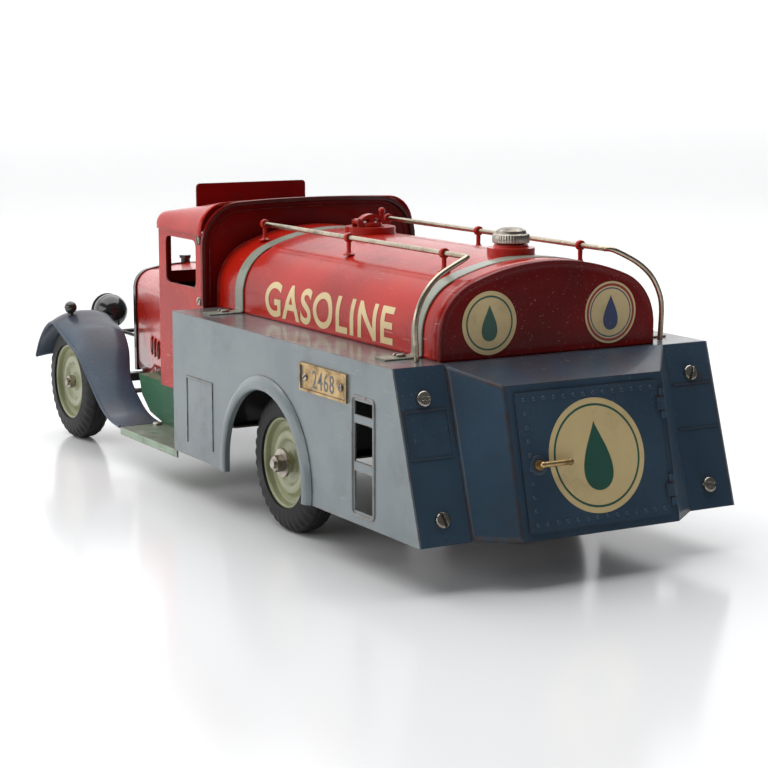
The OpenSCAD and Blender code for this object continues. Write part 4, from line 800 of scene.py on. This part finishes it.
def front_wing(name, side, node):
    """A wing: its edge line lifted by crown (1 - (|2.1 u - 0.85| / 1.25)^2.4) across its width u."""
    line = spline(WING_EDGE, 8)
    way = np.gradient(line[:, :2], axis=0)
    way /= np.linalg.norm(way, axis=1)[:, None]
    up = np.stack([-way[:, 1], way[:, 0]], 1)
    u = np.linspace(0, 1, 33)
    lift = line[:, 2][:, None] * (1 - (np.abs(2.1 * u - 0.85) / 1.25) ** 2.4)
    inner = line[:, 3][:, None]
    x = inner + (HALF - 0.8 - inner) * u + 0 * lift
    y = AXLE_F + line[:, 0][:, None] + up[:, 0][:, None] * lift
    z = line[:, 1][:, None] + up[:, 1][:, None] * lift
    rings = np.stack([side * x, y, z], -1)
    made = sweep(name, rings if side > 0 else rings[:, ::-1], "chassis", "slate_paint",
                 False, False, 60)
    thicken(made, SHEET, -1.0)
    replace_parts(made, node)
    bead = np.stack([side * x[:, -1], y[:, -1], z[:, -1]], -1) - np.array([side * 0.35, 0, 0.3])
    rod(name + "_bead", bead[1:-1], 0.75, "chassis", "slate_paint", 12, (side, 0, 0))


def arched_rings(stations):
    """Open arches (y, half width, z0, z1, r, crown) as rings from right foot to left foot."""
    rings = []
    for y, w, z0, z1, r, crown in stations:
        line = arch_line(2 * w, z0, z1, r, crown, 8, 14, 24)
        rings.append(np.stack([line[:, 0], np.full(len(line), y), line[:, 1]], 1))
    return rings


def hood_sheet():
    """The tapered hood with a raised hinge line along its middle and louvres low on its sides."""
    length = COWL_Y - RADIATOR_Y
    stations = []
    for f in np.linspace(0, 1, 25):
        z0 = 36 if f < 0.55 else min(PAN_Z + 0.2, 36 + (f - 0.55) * 40)
        stations.append((RADIATOR_Y + length * f, 30.5 + 17.5 * f, z0, 90 + 5.5 * f, 10 + 3 * f, 2))
    rings = np.array(arched_rings(stations))
    ridge = 0.5 * np.exp(-((rings[:, :, 0]) / 0.7) ** 2)
    rings[:, :, 2] += ridge
    made = sweep("hood_sheet", rings, "chassis", "red_paint", False, False, 50)
    thicken(made, SHEET, -1.0)
    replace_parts(made, "hood")
    for side in (-1, 1):
        for i in range(3):
            y = COWL_Y - 11.8 - 9 * i
            f = (y - RADIATOR_Y) / length
            x = 30.5 + 17.5 * f
            u = np.linspace(-1, 1, 13)[:, None]
            v = np.linspace(0, 1, 9)[None, :]
            bulge = 1.5 * (1 - u ** 4) * np.sin(math.pi * v * 0.5) ** 0.8
            points = np.stack([side * (x + 0.05 + bulge + 0 * u), y + 3.4 * (v - 0.5) + 0 * u,
                               54.5 + 5.6 * u + 0 * v], -1)
            faces = grid_faces(13, 9)
            if side > 0:
                faces = faces[:, ::-1]
            louvre = piece(f"louvre_{hand(side)}_{i}", points.reshape(-1, 3), faces, "chassis",
                           "red_paint", 50)
            thicken(louvre, 0.4 * MM, -1.0)


def roof_sheet():
    """The cab's roof, closed by a fascia over the screen; square-shouldered there, round at the back."""
    front, back = CAB_FRONT_Y - 1, CAB_BACK_Y - 0.9
    stations = [(front + lead, CAB_X + 0.9 - d, ROOF_EDGE_Z, CAB_TOP - 7.6 - d, 6 - d, 1)
                for lead, d in ((0, 1.0), (0.12, 0.55), (0.45, 0.18))]
    for f in np.linspace(0.018, 1, 17):
        stations.append((front + (back - front) * f, CAB_X + 0.9 + 0.5 * f, ROOF_EDGE_Z,
                         CAB_TOP - 7.6 + 7.6 * f, 6 + 8 * f * (2 - f), 1))
    rings = np.array(arched_rings(stations))
    rows, columns = rings.shape[:2]
    faces = grid_faces(rows, columns).tolist() + [list(range(columns))[::-1]]
    made = piece("roof_sheet", rings.reshape(-1, 3), faces, "chassis", "red_paint", 40)
    thicken(made, SHEET, -1.0)
    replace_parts(made, "cab_roof")
    # A near black rod round the cab back's edge: painted shade of the channel between roof and back panel.
    line = arch_line(2 * (CAB_X + 0.5), SKIRT_TOP + 0.6, CAB_TOP - 1.1, 20.2, 1, 10, 24, 30)
    rim = np.stack([line[:, 0], np.full(len(line), CAB_BACK_Y + 0.5), line[:, 1]], 1)
    rod("cab_back_rim", rim, 1.2, "chassis", "channel_shade_paint", 14, (0, 1, 0))
    inner = arch_line(2 * (CAB_X - 3.0), SKIRT_TOP + 0.6, CAB_TOP - 4.6, 17, 1, 10, 24, 30)
    bead = np.stack([inner[:, 0], np.full(len(inner), CAB_BACK_Y + 0.1), inner[:, 1]], 1)
    rod("cab_back_bead", bead, 0.55, "chassis", "dark_red_paint", 12, (0, 1, 0))


def lamps():
    """Headlamps as turned balls with a rim, a bulged glass, and the two small lamps on the wings."""
    x, y, z, r = 36.2, -204.4, 64.8, 9.6
    a = np.linspace(math.pi / 2, -0.42, 18)
    ball = [(max(r * math.cos(t), 0.01), -r * math.sin(t)) for t in a]
    ball += [(r + 0.05, 4.4), (r + 0.35, 4.6), (r + 0.35, 5.4), (r - 0.4, 5.9), (r - 1.2, 5.5), (0.01, 5.3)]
    ball = np.array([(min(p, r), h) for p, h in ball])
    glass = [(0.01, 5.2), (r - 1.1, 5.2), (r - 1.1, 5.35), (r * 0.6, 5.8), (r * 0.3, 6.0), (0.01, 6.05)]
    for side in (-1, 1):
        word = hand(side)
        made = turned(f"headlamp_{word}", ball[::-1], (side * x, y, z), (0, -1, 0), "chassis", "black_paint", 64)
        if side < 0:
            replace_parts(made, "headlamp_shells")
        made = turned(f"headlamp_glass_{word}", glass[::-1], (side * x, y, z), (0, -1, 0), "chassis",
                      "lamp_glass", 48)
        if side < 0:
            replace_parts(made, "headlamp_lenses")
        dome = [(0.01, -4.4), (1.4, -4.4), (1.4, -3.2)]
        dome += [(max(3.4 * math.cos(t), 0.01), 3.4 * math.sin(t)) for t in np.linspace(-1.1, math.pi / 2, 14)]
        made = turned(f"wing_lamp_{word}", np.array(dome)[::-1], (side * 68, -183.9, 71.0), (0, 0, 1), "chassis",
                      "black_paint", 40)
        if side < 0:
            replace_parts(made, "wing_lamps")


# ---------------------------------------------------------------- fasteners

def screw(name, centre, axis, r, h, turn, body="chassis"):
    """A slotted cheese head: height h (1 - (d / r)^8) cut to a flat floor within the slot."""
    axis = np.asarray(axis, float) / np.linalg.norm(axis)
    u = np.cross(axis, (0.31, 0.17, 0.94))
    u /= np.linalg.norm(u)
    v = np.cross(axis, u)
    d = np.concatenate([[0.001], np.linspace(0.08, 1, 22)])[:, None] * r
    a = np.linspace(0, 2 * math.pi, 96, endpoint=False)[None, :]
    height = h * (0.5 + 0.5 * np.sqrt(np.clip(1 - (d / r) ** 7, 0, 1)) - 0.07 * (d / r) ** 2)
    p = d * np.cos(a), d * np.sin(a)
    across = np.abs(p[0] * math.sin(turn) - p[1] * math.cos(turn))
    cut = 1 / (1 + np.exp((across - r * 0.17) / (r * 0.012)))
    height = height * (1 - cut) + (h * 0.2) * cut
    top = centre + p[0][..., None] * u + p[1][..., None] * v + height[..., None] * axis
    skirt_ring = centre + r * (np.cos(a)[..., None] * u + np.sin(a)[..., None] * v)
    rings = np.concatenate([skirt_ring, top[::-1]])
    return sweep(name, rings, body, "nickel", smooth=40)


def screws():
    """Slotted screws of the tail, the strap feet, the plate, the cab and the running boards."""
    c, s = math.cos(math.atan(21.4 / 67.6)), math.sin(math.atan(21.4 / 67.6))
    side_x = (HALF - 54) / 2 + 54
    first = None
    for side in (-1, 1):
        for k, up in ((0, 10), (1, 58)):
            at = np.array([side * side_x, 203.1 - up * s, SKIRT_Z + up * c])
            made = screw(f"tail_screw_{side + 1}_{k}", at, (0, c, s), 3.3, 1.8, 0.5 + 1.3 * k + side)
            first = first or made
        for k, y in enumerate(STRAP_Y):
            at = np.array([side * (TANK_W / 2 + 8.8), y, SKIRT_TOP + 0.8])
            screw(f"strap_screw_{side + 1}_{k}", at, (0, 0, 1), 2.9, 1.5, 0.4 + side)
    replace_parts(first, "body_screws")
    for k, y in enumerate((110.6, 141.3)):
        screw(f"plate_screw_{k}", np.array([HALF + 0.6, y, 74.3]), (1, 0, 0), 1.7, 0.9, 0.8 + k)
    first = None
    for side in (-1, 1):
        for k, z in enumerate((89.3, 118.9)):
            at = np.array([side * CAB_X, CAB_BACK_Y - 5, z])
            made = screw(f"cab_bolt_{side + 1}_{k}", at, (side, 0, 0), 2.2, 1.4, 1.0 + k)
            first = first or made
        at = np.array([side * (HALF - 20), AXLE_F + 86, 19.6])
        screw(f"board_screw_{side + 1}", at, (0, 0, 1), 2.6, 1.4, 0.5)
    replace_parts(first, "cab_bolts")


# ---------------------------------------------------------------- lettering and discs

def letters(text, bold=0.0, spacing=1.0):
    """Outline letters as flat points and faces, one unit high, their foot line at zero."""
    curve = bpy.data.curves.new("letters", "FONT")
    curve.body, curve.size, curve.offset, curve.space_character = text, 1.0, bold, spacing
    curve.resolution_u = 6
    holder = bpy.data.objects.new("letters", curve)
    bpy.context.scene.collection.objects.link(holder)
    bpy.context.view_layer.update()
    flat = bmesh.new()
    flat.from_mesh(holder.evaluated_get(bpy.context.evaluated_depsgraph_get()).to_mesh())
    for cut in np.linspace(0, 0.75, 40):
        bmesh.ops.bisect_plane(flat, geom=flat.verts[:] + flat.edges[:] + flat.faces[:], plane_co=(0, cut, 0),
                               plane_no=(0, 1, 0))
    flat.verts.index_update()
    points = np.array([v.co[:] for v in flat.verts])
    faces = [[v.index for v in f.verts] for f in flat.faces]
    flat.free()
    bpy.data.objects.remove(holder)
    bpy.data.curves.remove(curve)
    points -= [points[:, 0].min(), points[:, 1].min(), 0]
    return points / [points[:, 0].max(), points[:, 1].max(), 1], faces


def tank_word(name, side):
    """The word along the tank's side, its letters laid on the upright sheet."""
    points, faces = letters(SIDE_WORD, 0.02, 1.1)
    y0, y1, z0, z1 = 22.5, 139.0, 89.2, 105.2
    y = y0 + (y1 - y0) * points[:, 0] if side > 0 else y1 - (y1 - y0) * points[:, 0]
    z = z0 + (z1 - z0) * points[:, 1]
    line = tank_line()
    low = line[:60][line[:60, 0] > 30]
    x = np.interp(z, low[:, 1], low[:, 0]) + 0.12
    piece(name, np.stack([side * x, y, z], 1), faces, "chassis", "cream_paint")


def disc(name, place, r, rings, body):
    """A flat painted disc made of colour zones; place(x, y) turns flat points into the truck's frame."""
    a = np.linspace(0, 2 * math.pi, 96, endpoint=False)
    for k, (r0, r1, finish) in enumerate(rings):
        radii = np.linspace(r0 * r, r1 * r, 6)[:, None]
        flat = np.stack([radii * np.cos(a), radii * np.sin(a)], -1).reshape(-1, 2)
        faces = grid_faces(6, 96, wrap_columns=True)
        piece(f"{name}_{k}", place(flat[:, 0], flat[:, 1], 0.0), faces, body, finish)


def drop(name, place, size, body, finish):
    """A fuel drop: x = sin a sin^1.5 (a / 2), y = cos a, its point up."""
    a = np.linspace(0, 2 * math.pi, 80, endpoint=False)
    x = size * 0.72 * np.sin(a) * np.abs(np.sin(a / 2)) ** 1.5
    y = size * np.cos(a)
    points = place(np.append(x, 0.0), np.append(y, -0.3 * size), 0.07)
    faces = [(k, (k + 1) % 80, 80) for k in range(80)]
    piece(name, points, [f[::-1] for f in faces], body, finish)


def painted_signs():
    """Discs on the tank's end and the tail door, each with a fuel drop, and the plate's number."""
    def on_end(cx, cz):
        return lambda x, y, lift: np.stack(np.broadcast_arrays(cx - x, TANK_Y1 - 0.22 + lift, cz + y), -1)

    def on_tail(x, y, lift):
        return on_door(-0.8 - x, 1.22 + lift, 30.8 + y)

    disc("tail_disc", on_tail, 23.2, [(0.0, 0.86, "cream_paint"), (0.86, 0.9, "sign_green"),
                                      (0.9, 1.0, "cream_paint")], "tail_door")
    drop("tail_drop", on_tail, 14.0, "tail_door", "sign_green")
    disc("end_disc_left", on_end(29.6, 101.6), 13.0, [(0.0, 0.8, "cream_paint"), (0.8, 0.86, "sign_green"),
                                                      (0.86, 1.0, "cream_paint")], "chassis")
    drop("end_drop_left", on_end(29.6, 101.6), 7.4, "chassis", "sign_green")
    disc("end_disc_right", on_end(-30.4, 102.2), 13.0, [(0.0, 0.76, "cream_paint"), (0.76, 0.8, "sign_blue"),
                                                        (0.8, 0.85, "cream_paint"), (0.85, 0.93, "sign_red"),
                                                        (0.93, 1.0, "cream_paint")], "chassis")
    drop("end_drop_right", on_end(-30.4, 102.2), 7.4, "chassis", "sign_blue")
    points, faces = letters(PLATE_TEXT, 0.01, 1.15)
    y, z = 116.5 + 19 * points[:, 0], 70.4 + 7.8 * points[:, 1]
    piece("plate_number", np.stack([np.full(len(y), HALF + 0.66), y, z], 1), faces, "chassis", "black_paint")


# ---------------------------------------------------------------- tail cabinet and hose slots

def cabinet_sides():
    """Smooth side faces of the cabinet: each is (1 - u)(1 - v) A + u (1 - v) D + (1 - u) v B + u v C."""
    top_in, foot_in = np.array([54.0, 181.7, 87.3]), np.array([54.0, 203.1, 19.9])
    top_out, foot_out = np.array([37.9, 201.4, 80.1]), np.array([37.9, 215.7, 19.9])
    u, v = np.meshgrid(np.linspace(0, 1, 13), np.linspace(0, 1, 25), indexing="ij")
    u, v = u[..., None], v[..., None]
    points = ((1 - u) * (1 - v) * top_in + u * (1 - v) * top_out + (1 - u) * v * foot_in + u * v * foot_out)
    points = points.reshape(-1, 3) + (0.03, 0.04, 0.01)
    for side in (-1, 1):
        made = piece(f"cabinet_side_{hand(side)}", points * (side, 1, 1), grid_faces(13, 25),
                     "chassis", "slate_paint", 60)
        thicken(made, 0.3 * MM, -1.0)


def hose_slots():
    """A raised frame round the hose openings and two shelves that curl inwards under their bars."""
    y0, y1, z0, z1, r = 149.9, 167.8, 23.6, 72.4, 2.2
    a = np.linspace(0, math.pi / 2, 7)
    corners = [(y1 - r, z0 + r, -math.pi / 2), (y1 - r, z1 - r, 0), (y0 + r, z1 - r, math.pi / 2),
               (y0 + r, z0 + r, math.pi)]
    loop = [((y0 + y1) / 2, z0)]
    for y, z, start in corners:
        loop += [(y + r * math.cos(start + t), z + r * math.sin(start + t)) for t in a]
    loop.append(loop[0])
    u, v = np.meshgrid(np.linspace(0, 1, 9), np.linspace(0, 1, 13), indexing="ij")
    for side in (-1, 1):
        word = hand(side)
        path = [(side * (HALF + 0.1), y, z) for y, z in loop]
        rod(f"slot_frame_{word}", path, 0.62, "chassis", "bare_grey", 12, (1, 0, 0))
        for k, z in enumerate((43.4, 63.0)):
            points = np.stack([side * (HALF - 0.9 - 6.5 * u), 151.7 + 14.3 * v, z - 4.5 * u ** 1.6], -1)
            shelf = piece(f"slot_shelf_{word}_{k}", points.reshape(-1, 3), grid_faces(9, 13), "chassis",
                          "bare_grey", 60)
            thicken(shelf, 0.5 * MM, 0.0)


def door_studs():
    """Embossed studs along the door's top, foot and latch side, and a boss round the latch's spindle."""
    low, high, reach = DOOR_MARGIN + 3, DOOR_MARGIN + DOOR_L - 3, DOOR_X - 3.6
    places = [(x, z) for x in np.linspace(-reach, reach, 14) for z in (low, high)]
    places += [(reach, z) for z in np.linspace(low, high, 10)[1:-1]]
    a = np.linspace(0, 2 * math.pi, 16, endpoint=False)
    points, faces = [], []
    for x, up in places:
        base = len(points)
        for d, h in ((1.0, 0.0), (0.92, 0.3), (0.62, 0.5), (0.25, 0.58)):
            points += [(x + d * math.cos(t), 1.08 + h, up + d * math.sin(t)) for t in a]
        faces += [[base + int(k) for k in f] for f in grid_faces(4, 16, wrap_columns=True)[:, ::-1]]
        faces.append([base + 48 + k for k in range(16)][::-1])
    points = np.array(points)
    piece("door_studs", on_door(points[:, 0], points[:, 1], points[:, 2]), faces, "tail_door", "slate_paint",
          60)
    tilt = (0, math.cos(DOOR_TILT), math.sin(DOOR_TILT))
    line = rounded([(2.3, 0), (4.1, 0), (4.0, 0.5), (2.6, 0.75), (2.3, 0.75)], 0.3)
    rings = lathe(line, on_door(27.7, 1.08, DOOR_MARGIN + 0.475 * DOOR_L).reshape(3), tilt, 48)
    faces = grid_faces(len(line), 48, True, True)[:, ::-1]
    piece("latch_boss", rings.reshape(-1, 3), faces, "tail_door", "slate_paint", 50)


def plate_frame():
    """A thin black line round the number plate."""
    y0, y1, z0, z1 = 107.2, 144.7, 68.6, 80.0
    outer = [(y0, z0), (y1, z0), (y1, z1), (y0, z1)]
    inner = [(y0 + 0.9, z0 + 0.9), (y1 - 0.9, z0 + 0.9), (y1 - 0.9, z1 - 0.9), (y0 + 0.9, z1 - 0.9)]
    points = [(HALF + 0.66, y, z) for y, z in outer + inner]
    piece("plate_line", points, grid_faces(2, 4, wrap_columns=True)[:, ::-1], "chassis", "black_paint")


# ---------------------------------------------------------------- the scene

place_camera()
place_floor()
place_backdrop()
place_lights()
dress_cad_nodes()

tank_sheet()
tank_end("tank_end_plate_rear", TANK_Y1, 1, "tank_end_rear")
tank_end("tank_end_plate_front", TANK_Y0, -1, "tank_end_front")
strap("strap_band_front", STRAP_Y[0], "strap_front")
strap("strap_band_rear", STRAP_Y[1], "strap_rear")
handrail("rail_left", 1, "handrail_left")
handrail("rail_right", -1, "handrail_right")
rail_posts()
fillers()
wheels()
front_wing("wing_left", 1, "front_wing_left")
front_wing("wing_right", -1, "front_wing_right")
hood_sheet()
roof_sheet()
lamps()
screws()
tank_word("word_left", 1)
tank_word("word_right", -1)
painted_signs()
cabinet_sides()
hose_slots()
door_studs()
plate_frame()
